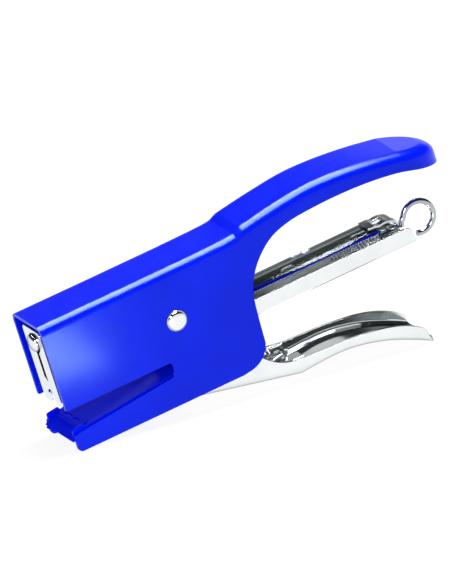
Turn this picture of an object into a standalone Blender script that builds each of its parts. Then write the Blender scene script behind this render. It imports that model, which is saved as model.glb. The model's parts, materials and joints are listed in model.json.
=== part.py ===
# Plier stapler: a hand-held stapler squeezed like pliers.
#
# Everything is drawn in the tool's own frame, in millimetres: X runs rearwards along the magazine, Y across,
# Z up, with the origin on the main rivet's axis in the middle plane. The frame empty then turns and lifts the
# whole tool so that it stands on its jaw nose and on the end of its lever, with the origin under its middle.

from math import asin, atan2, cos, degrees, hypot, pi, radians, sin

import bmesh
import bpy
from mathutils import Matrix, Vector

MM = 0.001                      # metres in a millimetre
MERGE = 0.00001                 # vertices closer than this are one, in metres
GAP = 0.3                       # air between pieces that lie on each other
REACH = 20.0                    # half the length of a cutter that goes right across the tool

# Folded body: head, jaw walls and upper handle, one sheet.
BODY_HALF_WIDTH = 13.0
BODY_SHEET = 1.2
BODY_FRONT = -50.8
BODY_STATIONS = (-54.0, -20.0, 8.0)     # cross sections of the straight head
BODY_SECTION_LOW = -34.0        # sections reach below the side outline, which trims them
HANDLE_SECTION_LOW = 4.0
HANDLE_SECTION_FROM = 56.0
BODY_SECTION_HIGH = 34.0
BODY_TOP = ((-56.0, 19.8), (22.0, 19.8), (35.0, 22.0), (49.0, 24.2), (63.0, 25.7), (76.0, 25.4),
            (89.0, 24.0), (101.0, 22.0))        # upper surface, side view
HEAD_BEND = 2.3
HANDLE_BEND = 4.0
HANDLE_BEND_FROM = 22.0         # the bend grows softer between these two places
HANDLE_BEND_TO = 52.0
TIP_LENGTH = 16.5               # the handle's rounded end, beyond the last point of BODY_TOP
TIP_FALL = 0.27                 # how much the end drops per millimetre
HEAD_BOTTOM = -14.3
THROAT_END = -6.7
THROAT_CORNER = 2.0
JAW_TOP_FRONT = -24.3
JAW_TOP_REAR = -20.1
JAW_BOTTOM = -31.2
JAW_CORNER = 2.0
REAR_CORNER = ((18.0, -31.2), (23.5, -30.2), (27.6, -27.4), (29.8, -23.2))
REAR_EDGE = ((30.2, -13.4), (31.1, -3.5), (33.9, 3.6), (38.6, 9.6), (44.6, 14.1), (52.0, 16.5),
             (60.0, 17.4), (72.5, 17.8), (86.0, 17.2), (98.7, 15.4), (108.0, 12.5), (118.0, 9.3),
             (126.0, 7.0))

# Main pivot.
PIVOT_RADIUS = 2.5
PIVOT_HOLE = 2.8
RIVET_HEAD_RADIUS = 3.55
RIVET_HEAD_HEIGHT = 0.9
RIVET_WASHER_RADIUS = 4.0
RIVET_WASHER_THICKNESS = 0.3
CLOSE_GAP = 0.12                # air under the rivet's head and its washer

# Lever: the lower handle, a channel that is open upwards, and its side plates.
LEVER_HALF_WIDTH = 11.2
LEVER_SHEET = 1.4
LEVER_FRONT = -5.0
LEVER_FRONT_TOP = -12.0         # the front edge turns into the boss here
LEVER_END = 93.6
LEVER_BEND = 3.0
LEVER_END_CORNER = 6.0
LEVER_STATIONS = (-10.0, 14.0, 33.0, 36.0)
LEVER_SECTION_HIGH = 12.0
LEVER_GRIP_SECTION_HIGH = -30.0
LEVER_SECTION_LOW = -62.0
LEVER_BOTTOM = ((-12.0, -30.0), (40.6, -41.9))
LEVER_GRIP = ((40.6, -41.9), (46.0, -41.5), (54.0, -41.1), (61.0, -41.4), (67.0, -42.4),
              (73.5, -44.1), (79.5, -46.3), (85.4, -49.0), (90.0, -51.4), (96.0, -54.9))
LEVER_BOSS = 8.0
LEVER_EDGE = ((7.6, 2.5), (12.0, -8.0), (20.0, -20.5), (28.0, -29.6), (34.5, -34.2), (42.7, -35.9),
              (52.0, -36.4), (62.0, -37.0), (74.7, -38.9), (84.0, -42.0), (91.0, -46.6), (94.6, -52.5))

# Driver arm: the lever's front half, an upside-down channel over the magazine.
ARM_OUTER = 9.4
ARM_INNER = 8.2
ARM_FRONT = -44.5
ARM_TOP = 16.0
ARM_SHEET = 1.2
ARM_OUTLINE = ((-44.5, 16.0), (-5.0, 16.0), (6.4, 5.0), (7.4, -3.0), (0.0, -7.4), (-9.0, -5.0),
               (-24.0, 4.5), (-44.5, 8.4))
TAB_HEIGHT = 10.0               # middle of the tab that works the driver blade
TAB_THICKNESS = 1.5
TAB_HALF_WIDTH = 1.0
TAB_TIP = -50.2
ARM_RIVET_PLACES = ((-4.3, 3.8), (4.3, -3.8))
ARM_RIVET_RADIUS = 1.2
ARM_RIVET_INSET = 0.05          # their ends lie this far inside the sheets' faces

# Magazine: channel, staple core, nose, cover.
MAG_OUTER = 7.8
MAG_INNER = 6.9
MAG_FLOOR = -14.5
MAG_FLOOR_THICKNESS = 0.9
MAG_WALL_TOP = -8.1
MAG_FRONT = -47.2
MAG_REAR = 98.6
MAG_REAR_CORNER = 3.0
MAG_REAR_CHAMFER = 0.6
MAG_EAR = 5.6
EAR_FOOT_FRONT = -14.0
EAR_FOOT_REAR = 27.0
COVER_STEP = 25.0               # the walls rise here to carry the cover
BUSH_RADIUS = 4.0
CORE_OUTER = 5.0
CORE_INNER = 4.2
CORE_TOP = -7.4
CORE_REAR = 30.0
NOSE_FRONT = -50.0
NOSE_BACK = -48.8
NOSE_TOP = 16.0
NOSE_CORNER = 2.0
NOSE_FOOT_CHAMFER = (0.8, 0.4)
NOSE_HOLE_HEIGHT = 10.2
NOSE_HOLE_RADIUS = 4.0
NOSE_SLOT_HALF_WIDTH = 1.3
NOSE_SLOT_FEET = (-3.6, -5.5)    # the slot's foot slants, from the far side to the near side
NOSE_NOTCH_HALF_WIDTH = 2.4
NOSE_NOTCH_TOP = -9.0
COVER_BOTTOM = -5.8
COVER_THICKNESS = 0.9
COVER_HALF_WIDTH = 7.7
COVER_FRONT = 14.0
COVER_REAR = 86.5
COVER_CORNER = 2.5
COVER_HOLES = (((49.8, -3.0), 2.9, 1.6), ((79.5, -2.6), 3.4, 1.2))  # centre, half length, end radius
COVER_BEAD = ((56.6, 4.6), 2.4, 1.3)
COVER_BEAD_HEIGHT = 0.7
COVER_RIVET_X = (20.0, 60.8)
COVER_RIVET_Y = 4.6
COVER_RIVET_RADIUS = 1.0
BRACKET_CENTRE = (90.0, -6.8)
BRACKET_ARCH = (4.8, 2.9)       # half length, height
BRACKET_ARCH_FROM = 115         # degrees
BRACKET_SHEET = 0.8
BRACKET_HALF_WIDTH = 4.4
BRACKET_FOOT = (83.2, 86.0)     # the flat foot, in front of the arch: from, to
BRACKET_END = (94.9, -7.0)
BRACKET_WINDOW = (86.6, 90.0, 1.7)      # from, to, half width

# Driver blade.
BLADE_FRONT = -48.5
BLADE_BACK = -47.7
BLADE_HALF_WIDTH = 6.3
BLADE_TOP = 13.6
BLADE_BOTTOM = -5.2
BLADE_WINDOW_HALF_HEIGHT = 1.5
BLADE_WINDOW_HALF_WIDTH = 1.3

# Follower: rod, collar and pull ring, and the pusher that slides on the rod.
ROD_HEIGHT = -9.8
ROD_RADIUS = 1.0
ROD_FRONT = -45.0
ROD_REAR = 96.0
COLLAR_RADIUS = 2.1
COLLAR_FRONT = 88.0
COLLAR_REAR = 94.6
RING_CENTRE = (104.5, -9.3)
RING_RADIUS = 6.1
RING_WIRE = 1.05
RING_WASHER_RADIUS = 1.8
SLEEVE_FRONT = -34.6
SLEEVE_REAR = 67.0
SLEEVE_RADIUS = 1.9
PUSHER_FRONT = -42.0
PUSHER_REAR = -35.0
PUSHER_HALF_WIDTH = 6.6
PUSHER_BOTTOM = -13.2
PUSHER_TONGUE_BOTTOM = -12.1
PUSHER_SPRING_RADIUS = 1.55
PUSHER_SPRING_WIRE = 0.28
PUSHER_SPRING_TURNS = 15

# Lower jaw: anvil, brace, spring strap.
ANVIL_HALF_WIDTH = 11.4
ANVIL_SHEET = 1.2
ANVIL_REAR = 2.0
ANVIL_NECK = -6.9                # behind here only a tongue runs on between the lever's side plates
ANVIL_TONGUE_HALF_WIDTH = 8.4
ANVIL_FOLD = (-48.5, -23.3)     # where the anvil's front lip folds down
ANVIL_LIP = (-52.0, -26.2)
ANVIL_POST_X = -38.0
ANVIL_POST_Y = 7.0
ANVIL_POST_RADIUS = 2.0
ANVIL_POCKET = (-47.2, -43.6, 1.3, 6.6)     # front, rear, inner side, outer side
ANVIL_POCKET_DEPTH = 0.15
JAW_SLOPE = (JAW_TOP_REAR - JAW_TOP_FRONT) / (THROAT_END - BODY_FRONT)
BRACE_FRONT = -46.0
BRACE_REAR = -13.0
BRACE_TOP = -28.7
STRAP_HALF_WIDTH = 4.0
STRAP_HEIGHT = -26.9
STRAP_HOLE_X = 6.5
STRAP_END = 9.5
STRAP_SHEET = 1.2
STRAP_FOOT_HALF_LENGTH = 5.0
STRAP_RISE = -12.0              # the strap is level behind here
STRAP_HOLE_RADIUS = 1.7
STRAP_RIVET_X = -22.0
STRAP_RIVET_RADIUS = 1.2
BRACE_SHEET = 1.2

# Return spring, from the strap to the hook on the lever's floor.
SPRING_FRONT = (11.0, -28.4)
SPRING_REAR = (33.8, -34.6)
SPRING_RADIUS = 2.5
SPRING_WIRE = 0.6
SPRING_TURNS = 13
HOOK_PROFILE = ((45.5, -39.1), (38.4, -38.9), (39.6, -33.4))
HOOK_HALF_WIDTH = 3.0
HOOK_SHEET = 1.0
HOOK_HOLE = (39.1, -36.2)
HOOK_HOLE_RADIUS = 1.2

PAINT = ("blue_paint", (0.0, 0.012, 0.86, 1.0), 0.0, 0.18)
DARK_PAINT = ("dark_blue_paint", (0.0, 0.006, 0.5, 1.0), 0.0, 0.22)
CHROME = ("chrome", (0.83, 0.84, 0.85, 1.0), 1.0, 0.1)
STEEL = ("spring_steel", (0.42, 0.44, 0.44, 1.0), 1.0, 0.28)
DARK_STEEL = ("dark_steel", (0.12, 0.13, 0.13, 1.0), 1.0, 0.35)


# ---------------------------------------------------------------- scene and helpers

def clear_scene():
    """Remove every object that the file opens with."""
    for thing in list(bpy.data.objects):
        bpy.data.objects.remove(thing, do_unlink=True)


def new_collection(name):
    collection = bpy.data.collections.new(name)
    bpy.context.scene.collection.children.link(collection)
    return collection


def material(finish):
    """The Principled material of a finish, made once."""
    name, colour, metallic, roughness = finish
    made = bpy.data.materials.get(name)
    if made is None:
        made = bpy.data.materials.new(name)
        made.use_nodes = True
        shader = made.node_tree.nodes["Principled BSDF"]
        shader.inputs["Base Color"].default_value = colour
        shader.inputs["Metallic"].default_value = metallic
        shader.inputs["Roughness"].default_value = roughness
    return made


def place(name, mesh, parent, finish, collection=None):
    """Put a mesh drawn in the tool's frame into the scene, under its joint's empty."""
    thing = bpy.data.objects.new(name, mesh)
    (collection or PARTS).objects.link(thing)
    thing.parent = parent
    thing.matrix_parent_inverse = parent.matrix_world.inverted()
    mesh.materials.append(material(finish))
    mesh.shade_smooth()
    mesh.set_sharp_from_angle(angle=radians(32))
    return thing


def as_cutter(name, mesh):
    """A hidden shape that Boolean modifiers use."""
    thing = place(name, mesh, FRAME, STEEL, CUTTERS)
    thing.hide_render = True
    thing.display_type = "WIRE"
    return thing


def boolean(thing, cutter, operation):
    step = thing.modifiers.new(operation.lower() + "_" + cutter.name, "BOOLEAN")
    step.operation = operation
    step.solver = "EXACT"
    step.object = cutter


def arc(centre, radius, start, end, steps):
    """Points of a circular arc; the angles are in degrees, anticlockwise from +X."""
    angles = [radians(start + (end - start) * n / steps) for n in range(steps + 1)]
    return [(centre[0] + radius * cos(a), centre[1] + radius * sin(a)) for a in angles]


def smooth(points, steps):
    """A Catmull-Rom curve through the points."""
    path = []
    for n in range(len(points) - 1):
        before, a, b, after = (Vector(points[min(max(n + k, 0), len(points) - 1)]) for k in (-1, 0, 1, 2))
        for step in range(steps):
            t = step / steps
            path.append(tuple(a + 0.5 * t * (b - before) + t * t * (before - 2.5 * a + 2 * b - 0.5 * after)
                              + t ** 3 * 0.5 * (3 * a - 3 * b + after - before)))
    return path + [tuple(points[-1])]


def height_on(path, x):
    """The height of a side-view line at x."""
    for (x0, z0), (x1, z1) in zip(path, path[1:]):
        if x0 <= x <= x1:
            return z0 + (z1 - z0) * (x - x0) / (x1 - x0)
    return path[-1][1]


AXES = {
    "Y": Matrix(((1, 0, 0), (0, 0, -1), (0, 1, 0))).to_4x4(),   # outline in XZ, thickness along Y
    "X": Matrix(((0, 0, 1), (1, 0, 0), (0, 1, 0))).to_4x4(),    # outline in YZ, thickness along X
    "Z": Matrix.Identity(4),                                    # outline in XY, thickness along Z
}


def outline_mesh(name, outline, low, high, axis="Y", holes=()):
    """A flat outline with holes, as a filled curve extruded from low to high along an axis."""
    curve = bpy.data.curves.new(name, "CURVE")
    curve.dimensions = "2D"
    curve.fill_mode = "BOTH"
    curve.extrude = (high - low) / 2 * MM
    for loop in (outline, *holes):
        spline = curve.splines.new("POLY")
        spline.points.add(len(loop) - 1)
        spline.use_cyclic_u = True
        for point, (a, b) in zip(spline.points, loop):
            point.co = (a * MM, b * MM, 0.0, 1.0)
    middle = (high + low) / 2 * MM
    shift = {"X": (middle, 0, 0), "Y": (0, middle, 0), "Z": (0, 0, middle)}[axis]
    return mesh_of_curve(curve, Matrix.Translation(shift) @ AXES[axis])


def mesh_of_curve(curve, matrix):
    """The closed mesh of a curve, with its caps welded, in the tool's frame."""
    holder = bpy.data.objects.new(curve.name, curve)
    bpy.context.scene.collection.objects.link(holder)
    seen = holder.evaluated_get(bpy.context.evaluated_depsgraph_get())
    mesh = bpy.data.meshes.new_from_object(seen)
    bpy.data.objects.remove(holder, do_unlink=True)
    mesh.transform(matrix)
    shape = bmesh.new()
    shape.from_mesh(mesh)
    bmesh.ops.remove_doubles(shape, verts=shape.verts, dist=MERGE)
    bmesh.ops.recalc_face_normals(shape, faces=shape.faces)
    return finished(shape, curve.name, mesh)


def finished(shape, name, mesh=None):
    """Write a bmesh out as a mesh."""
    mesh = mesh or bpy.data.meshes.new(name)
    shape.to_mesh(mesh)
    shape.free()
    return mesh


def wire_mesh(name, points, radius):
    """A round wire along three-dimensional points."""
    curve = bpy.data.curves.new(name, "CURVE")
    curve.dimensions = "3D"
    curve.bevel_depth = radius * MM
    curve.bevel_resolution = 2
    curve.use_fill_caps = True
    spline = curve.splines.new("POLY")
    spline.points.add(len(points) - 1)
    for point, place_at in zip(spline.points, points):
        point.co = (*(Vector(place_at) * MM), 1.0)
    return mesh_of_curve(curve, Matrix.Identity(4))


def box_mesh(name, low, high):
    shape = bmesh.new()
    bmesh.ops.create_cube(shape, size=1.0)
    size = Vector(high) - Vector(low)
    bmesh.ops.scale(shape, vec=size * MM, verts=shape.verts)
    bmesh.ops.translate(shape, vec=(Vector(high) + Vector(low)) / 2 * MM, verts=shape.verts)
    return finished(shape, name)


def pin_mesh(name, radius, low, high, axis, centre, sides=24):
    """A plain cylinder from low to high along an axis; centre gives the other two coordinates."""
    shape = bmesh.new()
    bmesh.ops.create_cone(shape, cap_ends=True, segments=sides, radius1=radius * MM, radius2=radius * MM,
                          depth=(high - low) * MM)
    about = {"X": "Y", "Y": "X"}
    turn = Matrix.Rotation(pi / 2, 4, about[axis]) if axis in about else Matrix.Identity(4)
    middle = (high + low) / 2
    spot = {"X": (middle, *centre), "Y": (centre[0], middle, centre[1]), "Z": (*centre, middle)}[axis]
    bmesh.ops.transform(shape, matrix=Matrix.Translation(Vector(spot) * MM) @ turn, verts=shape.verts)
    return finished(shape, name)


def turned(name, profile, axis, centre, parent, finish, steps=24):
    """A turned piece: (radius, height) points run down its outer side, and Screw spins them."""
    shape = bmesh.new()
    corners = [shape.verts.new((radius * MM, 0.0, height * MM)) for radius, height in profile]
    for a, b in zip(corners, corners[1:]):
        shape.edges.new((a, b))
    if profile[0][0] > 0:
        shape.edges.new((corners[-1], corners[0]))
    thing = place(name, finished(shape, name), parent, finish)
    turn = {"X": Matrix.Rotation(pi / 2, 4, "Y"), "Y": Matrix.Rotation(-pi / 2, 4, "X")}[axis]
    spot = {"X": (0, *centre), "Y": (centre[0], 0, centre[1])}[axis]
    thing.matrix_basis = Matrix.Translation(Vector(spot) * MM) @ turn
    spin = thing.modifiers.new("spin", "SCREW")
    spin.steps = steps
    spin.render_steps = steps
    spin.use_merge_vertices = True
    spin.merge_threshold = MERGE
    return thing


def tube_profile(inner, outer, low, high):
    return ((outer, high), (outer, low), (inner, low), (inner, high))


def strip_mesh(name, profile, half_width):
    """An open ribbon: a side-view line swept across the tool."""
    shape = bmesh.new()
    row = [shape.verts.new((x * MM, -half_width * MM, z * MM)) for x, z in profile]
    edges = [shape.edges.new(pair) for pair in zip(row, row[1:])]
    swept = bmesh.ops.extrude_edge_only(shape, edges=edges)["geom"]
    moved = [piece for piece in swept if isinstance(piece, bmesh.types.BMVert)]
    bmesh.ops.translate(shape, vec=(0.0, 2 * half_width * MM, 0.0), verts=moved)
    return finished(shape, name)


def thicken(thing, thickness, offset):
    """Give an open surface its sheet thickness."""
    sheet = thing.modifiers.new("sheet", "SOLIDIFY")
    sheet.thickness = thickness * MM
    sheet.offset = offset
    sheet.use_even_offset = True


def section(half_width, bend, top, bottom, bend_steps):
    """Half a channel's cross section, from the middle of its web out round the bend and along its wall."""
    side = 1 if top > bottom else -1
    points = [(0.0, top), (half_width - bend, top)]
    points += [(half_width - bend + bend * sin(a), top - side * bend * (1 - cos(a)))
               for a in (pi / 2 * n / bend_steps for n in range(1, bend_steps + 1))]
    return points + [(half_width, bottom)]


def loft(name, rows, outside_up):
    """A surface over rows of points; equal points are merged, so a row may share a point with the next."""
    shape = bmesh.new()
    grid = [[shape.verts.new(Vector(point) * MM) for point in row] for row in rows]
    for near, far in zip(grid, grid[1:]):
        for n in range(len(near) - 1):
            ring = [near[n], far[n], far[n + 1], near[n + 1]]
            shape.faces.new(ring if outside_up else ring[::-1])
    bmesh.ops.remove_doubles(shape, verts=shape.verts, dist=MERGE)
    return finished(shape, name)


def folded_sheet(name, rows, outside_up, thickness, parent, finish):
    """A folded channel: half of it is lofted, mirrored in the middle plane and thickened inwards."""
    thing = place(name, loft(name, rows, outside_up), parent, finish)
    mirror = thing.modifiers.new("other_half", "MIRROR")
    mirror.use_axis = (False, True, False)
    mirror.merge_threshold = MERGE
    thicken(thing, thickness, -1.0)
    return thing


def joint_empty(name, parent, x, z):
    """An empty on a joint's axis, at a place in the tool's frame."""
    empty = bpy.data.objects.new(name, None)
    PARTS.objects.link(empty)
    empty.location = (x * MM, 0.0, z * MM)
    bpy.context.view_layer.update()
    if parent:
        empty.parent = parent
        empty.matrix_parent_inverse = parent.matrix_world.inverted()
    bpy.context.view_layer.update()
    return empty


# ---------------------------------------------------------------- body

def body_outline():
    """Side view of the folded body, open above so that only its lower edges cut."""
    throat = arc((THROAT_END - THROAT_CORNER, JAW_TOP_REAR + THROAT_CORNER), THROAT_CORNER, 0, -84, 4)
    nose = arc((BODY_FRONT + JAW_CORNER, JAW_BOTTOM + JAW_CORNER), JAW_CORNER, 180, 270, 4)
    outline = [(BODY_FRONT, BODY_SECTION_HIGH), (BODY_FRONT, HEAD_BOTTOM), (THROAT_END - 1.0, HEAD_BOTTOM)]
    outline += [(THROAT_END, HEAD_BOTTOM - 1.0)] + throat
    outline += [(BODY_FRONT + 1.0, JAW_TOP_FRONT + JAW_SLOPE), (BODY_FRONT, JAW_TOP_FRONT - 1.0)] + nose
    outline += smooth(REAR_CORNER, 2) + smooth(REAR_EDGE, 3)
    return outline + [(REAR_EDGE[-1][0], BODY_SECTION_HIGH)]


def body_rows(step, bend_steps, tip_steps):
    """Cross sections of the body from front to tip; the tip is a fan of them about one point."""
    top_line = smooth(BODY_TOP, 6)
    tip_x, tip_z = BODY_TOP[-1]
    rows = []
    count = int((tip_x - HANDLE_BEND_FROM) / step) + 1
    for x in [*BODY_STATIONS, *(HANDLE_BEND_FROM + step * n for n in range(count))]:
        share = min(max((x - HANDLE_BEND_FROM) / (HANDLE_BEND_TO - HANDLE_BEND_FROM), 0.0), 1.0)
        bend = HEAD_BEND + (HANDLE_BEND - HEAD_BEND) * share
        bottom = BODY_SECTION_LOW if x < HANDLE_SECTION_FROM else HANDLE_SECTION_LOW
        across = section(BODY_HALF_WIDTH, bend, height_on(top_line, x), bottom, bend_steps)
        rows.append([(x, y, z) for y, z in across])
    for n in range(tip_steps + 1):
        turn = pi / 2 * n / tip_steps
        reach = TIP_LENGTH / BODY_HALF_WIDTH * sin(turn)
        row = []
        for y, z in section(BODY_HALF_WIDTH, HANDLE_BEND, tip_z, HANDLE_SECTION_LOW, bend_steps):
            fall = 0.0 if z == HANDLE_SECTION_LOW else TIP_FALL * y * reach
            row.append((tip_x + y * reach, y * cos(turn), z - fall))
        rows.append(row)
    return rows


def build_body():
    shell = folded_sheet("body_shell", body_rows(7.9, 3, 7), True, BODY_SHEET, FRAME, PAINT)
    side = outline_mesh("cut_body_side", body_outline(), -REACH, REACH)
    boolean(shell, as_cutter("cut_body_side", side), "INTERSECT")
    boolean(shell, PIVOT_CUTTER, "DIFFERENCE")

    reach = BODY_HALF_WIDTH + 2 * CLOSE_GAP + RIVET_WASHER_THICKNESS
    dome = [(0.0, reach + RIVET_HEAD_HEIGHT)]
    for turn in (0.5, 0.95, 1.3, pi / 2):
        dome.append((RIVET_HEAD_RADIUS * sin(turn), reach + RIVET_HEAD_HEIGHT * cos(turn)))
    profile = dome + [(PIVOT_RADIUS, reach), (PIVOT_RADIUS, -reach)]
    profile += [(radius, -height) for radius, height in dome[::-1]]
    turned("main_rivet", profile, "Y", (0, 0), FRAME, CHROME)
    for side, name in ((-1, "rivet_washer_left"), (1, "rivet_washer_right")):
        inner = side * (BODY_HALF_WIDTH + CLOSE_GAP)
        faces = sorted((inner, inner + side * RIVET_WASHER_THICKNESS))
        turned(name, tube_profile(PIVOT_HOLE, RIVET_WASHER_RADIUS, *faces), "Y", (0, 0), FRAME, DARK_STEEL)


def build_jaw():
    rear = (ANVIL_REAR, ANVIL_FOLD[1] + JAW_SLOPE * (ANVIL_REAR - ANVIL_FOLD[0]))
    strip = strip_mesh("anvil_plate", (rear, ANVIL_FOLD, ANVIL_LIP), ANVIL_HALF_WIDTH)
    anvil = place("anvil_plate", strip, FRAME, DARK_PAINT)
    thicken(anvil, ANVIL_SHEET, -1.0)
    pocket_front, pocket_rear, pocket_inner, pocket_outer = ANVIL_POCKET
    for sign, word in ((-1, "left"), (1, "right")):
        low, high = sorted((sign * ANVIL_TONGUE_HALF_WIDTH, sign * REACH))
        beside = box_mesh("cut_neck_" + word, (ANVIL_NECK, low, JAW_BOTTOM), (REACH, high, HEAD_BOTTOM))
        boolean(anvil, as_cutter("cut_neck_" + word, beside), "DIFFERENCE")
        low, high = sorted((sign * pocket_inner, sign * pocket_outer))
        floor = ANVIL_FOLD[1] - ANVIL_POCKET_DEPTH
        pocket = box_mesh("cut_pocket_" + word, (pocket_front, low, floor), (pocket_rear, high, HEAD_BOTTOM))
        boolean(anvil, as_cutter("cut_pocket_" + word, pocket), "DIFFERENCE")

    half = ANVIL_HALF_WIDTH
    brace = [(BRACE_FRONT, -half), (BRACE_REAR, -half), (BRACE_REAR, half), (BRACE_FRONT, half)]
    brace_bottom = BRACE_TOP - BRACE_SHEET
    place("jaw_brace", outline_mesh("jaw_brace", brace, brace_bottom, BRACE_TOP, "Z"), FRAME, DARK_PAINT)
    anvil_top = ANVIL_FOLD[1] + JAW_SLOPE * (ANVIL_POST_X - ANVIL_POST_RADIUS - ANVIL_FOLD[0])
    post_top = anvil_top - ANVIL_SHEET - GAP - CLOSE_GAP
    for side, name in ((-1, "anvil_post_left"), (1, "anvil_post_right")):
        place(name, pin_mesh(name, ANVIL_POST_RADIUS, BRACE_TOP + GAP, post_top, "Z",
                             (ANVIL_POST_X, side * ANVIL_POST_Y)), FRAME, STEEL)

    foot = BRACE_TOP + GAP + STRAP_SHEET / 2
    profile = ((STRAP_RIVET_X - STRAP_FOOT_HALF_LENGTH, foot), (STRAP_RIVET_X + STRAP_FOOT_HALF_LENGTH, foot),
               (STRAP_RISE, STRAP_HEIGHT), (STRAP_END, STRAP_HEIGHT))
    strap = place("spring_strap", strip_mesh("spring_strap", profile, STRAP_HALF_WIDTH), FRAME, STEEL)
    thicken(strap, STRAP_SHEET, 0.0)
    hole = pin_mesh("cut_strap_hole", STRAP_HOLE_RADIUS, -2 * REACH, -REACH, "Z", (STRAP_HOLE_X, 0), 16)
    boolean(strap, as_cutter("cut_strap_hole", hole), "DIFFERENCE")
    spot = (STRAP_RIVET_X, 0)
    hole = pin_mesh("cut_strap_rivet", STRAP_RIVET_RADIUS + GAP, -2 * REACH, -REACH, "Z", spot, 16)
    rivet_hole = as_cutter("cut_strap_rivet", hole)
    boolean(strap, rivet_hole, "DIFFERENCE")
    boolean(bpy.data.objects["jaw_brace"], rivet_hole, "DIFFERENCE")
    rivet = pin_mesh("strap_rivet", STRAP_RIVET_RADIUS, brace_bottom, foot + STRAP_SHEET / 2, "Z", spot, 16)
    place("strap_rivet", rivet, FRAME, STEEL)


def build_return_spring():
    """A coil between the strap's hole and the hook's hole, with a straight hook at each end."""
    (x0, z0), (x1, z1) = SPRING_FRONT, SPRING_REAR
    slope = atan2(z1 - z0, x1 - x0)
    along = Vector((cos(slope), 0.0, sin(slope)))
    up = Vector((-sin(slope), 0.0, cos(slope)))
    across = Vector((0.0, 1.0, 0.0))
    start = Vector((x0, 0.0, z0))
    length = hypot(x1 - x0, z1 - z0)
    points = [(STRAP_HOLE_X, 0.0, STRAP_HEIGHT + 2.0), (STRAP_HOLE_X, 0.0, STRAP_HEIGHT - 1.2),
              (STRAP_HOLE_X + 1.2, 0.0, STRAP_HEIGHT - 2.2)]
    per_turn = 10
    for n in range(SPRING_TURNS * per_turn + 1):
        turn = 2 * pi * n / per_turn - pi / 2
        spin = SPRING_RADIUS * (up * sin(turn) + across * cos(turn))
        points.append(tuple(start + along * length * n / (SPRING_TURNS * per_turn) + spin))
    points += [(HOOK_HOLE[0] - 1.6, 0.0, HOOK_HOLE[1]), (HOOK_HOLE[0] + 1.5, 0.0, HOOK_HOLE[1] + 0.2),
               (HOOK_HOLE[0] + 2.0, 0.0, HOOK_HOLE[1] + 2.0)]
    place("return_spring", wire_mesh("return_spring", points, SPRING_WIRE), FRAME, STEEL)


# ---------------------------------------------------------------- lever

def lever_rows():
    """Cross sections of the lower handle, from its front to just past its end."""
    grip = smooth(LEVER_GRIP, 3)
    bottom_line = list(LEVER_BOTTOM[:1]) + grip
    rows = []
    for x in [*LEVER_STATIONS, *(x for x, _ in grip[::2])]:
        top = LEVER_SECTION_HIGH if x < LEVER_STATIONS[-1] else LEVER_GRIP_SECTION_HIGH
        across = section(LEVER_HALF_WIDTH, LEVER_BEND, height_on(bottom_line, x), top, 3)
        rows.append([(x, y, z) for y, z in across])
    return rows


def build_lever():
    handle = folded_sheet("lower_handle", lever_rows(), False, LEVER_SHEET, LEVER, CHROME)
    side = [(LEVER_FRONT, LEVER_SECTION_LOW), (LEVER_FRONT, LEVER_FRONT_TOP)]
    side += arc((0, 0), LEVER_BOSS, 205, 40, 8)
    side += smooth(LEVER_EDGE, 2) + [(LEVER_EDGE[-1][0], LEVER_SECTION_LOW)]
    prism = outline_mesh("cut_lever_side", side, -REACH, REACH)
    boolean(handle, as_cutter("cut_lever_side", prism), "INTERSECT")
    corner, half = LEVER_END_CORNER, LEVER_HALF_WIDTH + 2.0
    plan = [(-REACH, -half), (LEVER_END - corner - 2.0, -half)]
    plan += arc((LEVER_END - corner, corner - LEVER_HALF_WIDTH), corner, -90, 0, 5)
    plan += [(x, -y) for x, y in plan[::-1]]
    end_cut = outline_mesh("cut_lever_end", plan, LEVER_SECTION_LOW, BODY_SECTION_HIGH, "Z")
    boolean(handle, as_cutter("cut_lever_end", end_cut), "INTERSECT")
    boolean(handle, PIVOT_CUTTER, "DIFFERENCE")

    arm = place("driver_arm", outline_mesh("driver_arm", ARM_OUTLINE, -ARM_OUTER, ARM_OUTER), LEVER, CHROME)
    under = ARM_TOP - ARM_SHEET
    inside = box_mesh("cut_arm", (ARM_FRONT + ARM_SHEET, -ARM_INNER, -REACH), (REACH, ARM_INNER, under))
    boolean(arm, as_cutter("cut_arm", inside), "DIFFERENCE")
    tab = box_mesh("join_tab", (TAB_TIP, -TAB_HALF_WIDTH, TAB_HEIGHT - TAB_THICKNESS / 2),
                   (ARM_FRONT + ARM_SHEET / 2, TAB_HALF_WIDTH, TAB_HEIGHT + TAB_THICKNESS / 2))
    boolean(arm, as_cutter("join_tab", tab), "UNION")
    boolean(arm, PIVOT_CUTTER, "DIFFERENCE")

    for n, (x, z) in enumerate(ARM_RIVET_PLACES, 1):
        name = f"cut_arm_rivet_{n}"
        hole = as_cutter(name, pin_mesh(name, ARM_RIVET_RADIUS + GAP, -REACH, REACH, "Y", (x, z), 16))
        boolean(arm, hole, "DIFFERENCE")
        boolean(handle, hole, "DIFFERENCE")
        for sign, word in ((-1, "left"), (1, "right")):
            ends = (ARM_INNER + ARM_RIVET_INSET, LEVER_HALF_WIDTH - ARM_RIVET_INSET)
            low, high = sorted(sign * end for end in ends)
            name = f"arm_rivet_{word}_{n}"
            place(name, pin_mesh(name, ARM_RIVET_RADIUS, low, high, "Y", (x, z), 16), LEVER, STEEL)

    hook = place("spring_hook", strip_mesh("spring_hook", HOOK_PROFILE, HOOK_HALF_WIDTH), LEVER, STEEL)
    thicken(hook, HOOK_SHEET, 0.0)
    hole_x, hole_z = HOOK_HOLE
    ends = (hole_x - REACH / 2, hole_x + REACH / 2)
    hole = pin_mesh("cut_hook_hole", HOOK_HOLE_RADIUS, *ends, "X", (0, hole_z), 16)
    boolean(hook, as_cutter("cut_hook_hole", hole), "DIFFERENCE")


# ---------------------------------------------------------------- magazine

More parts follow.
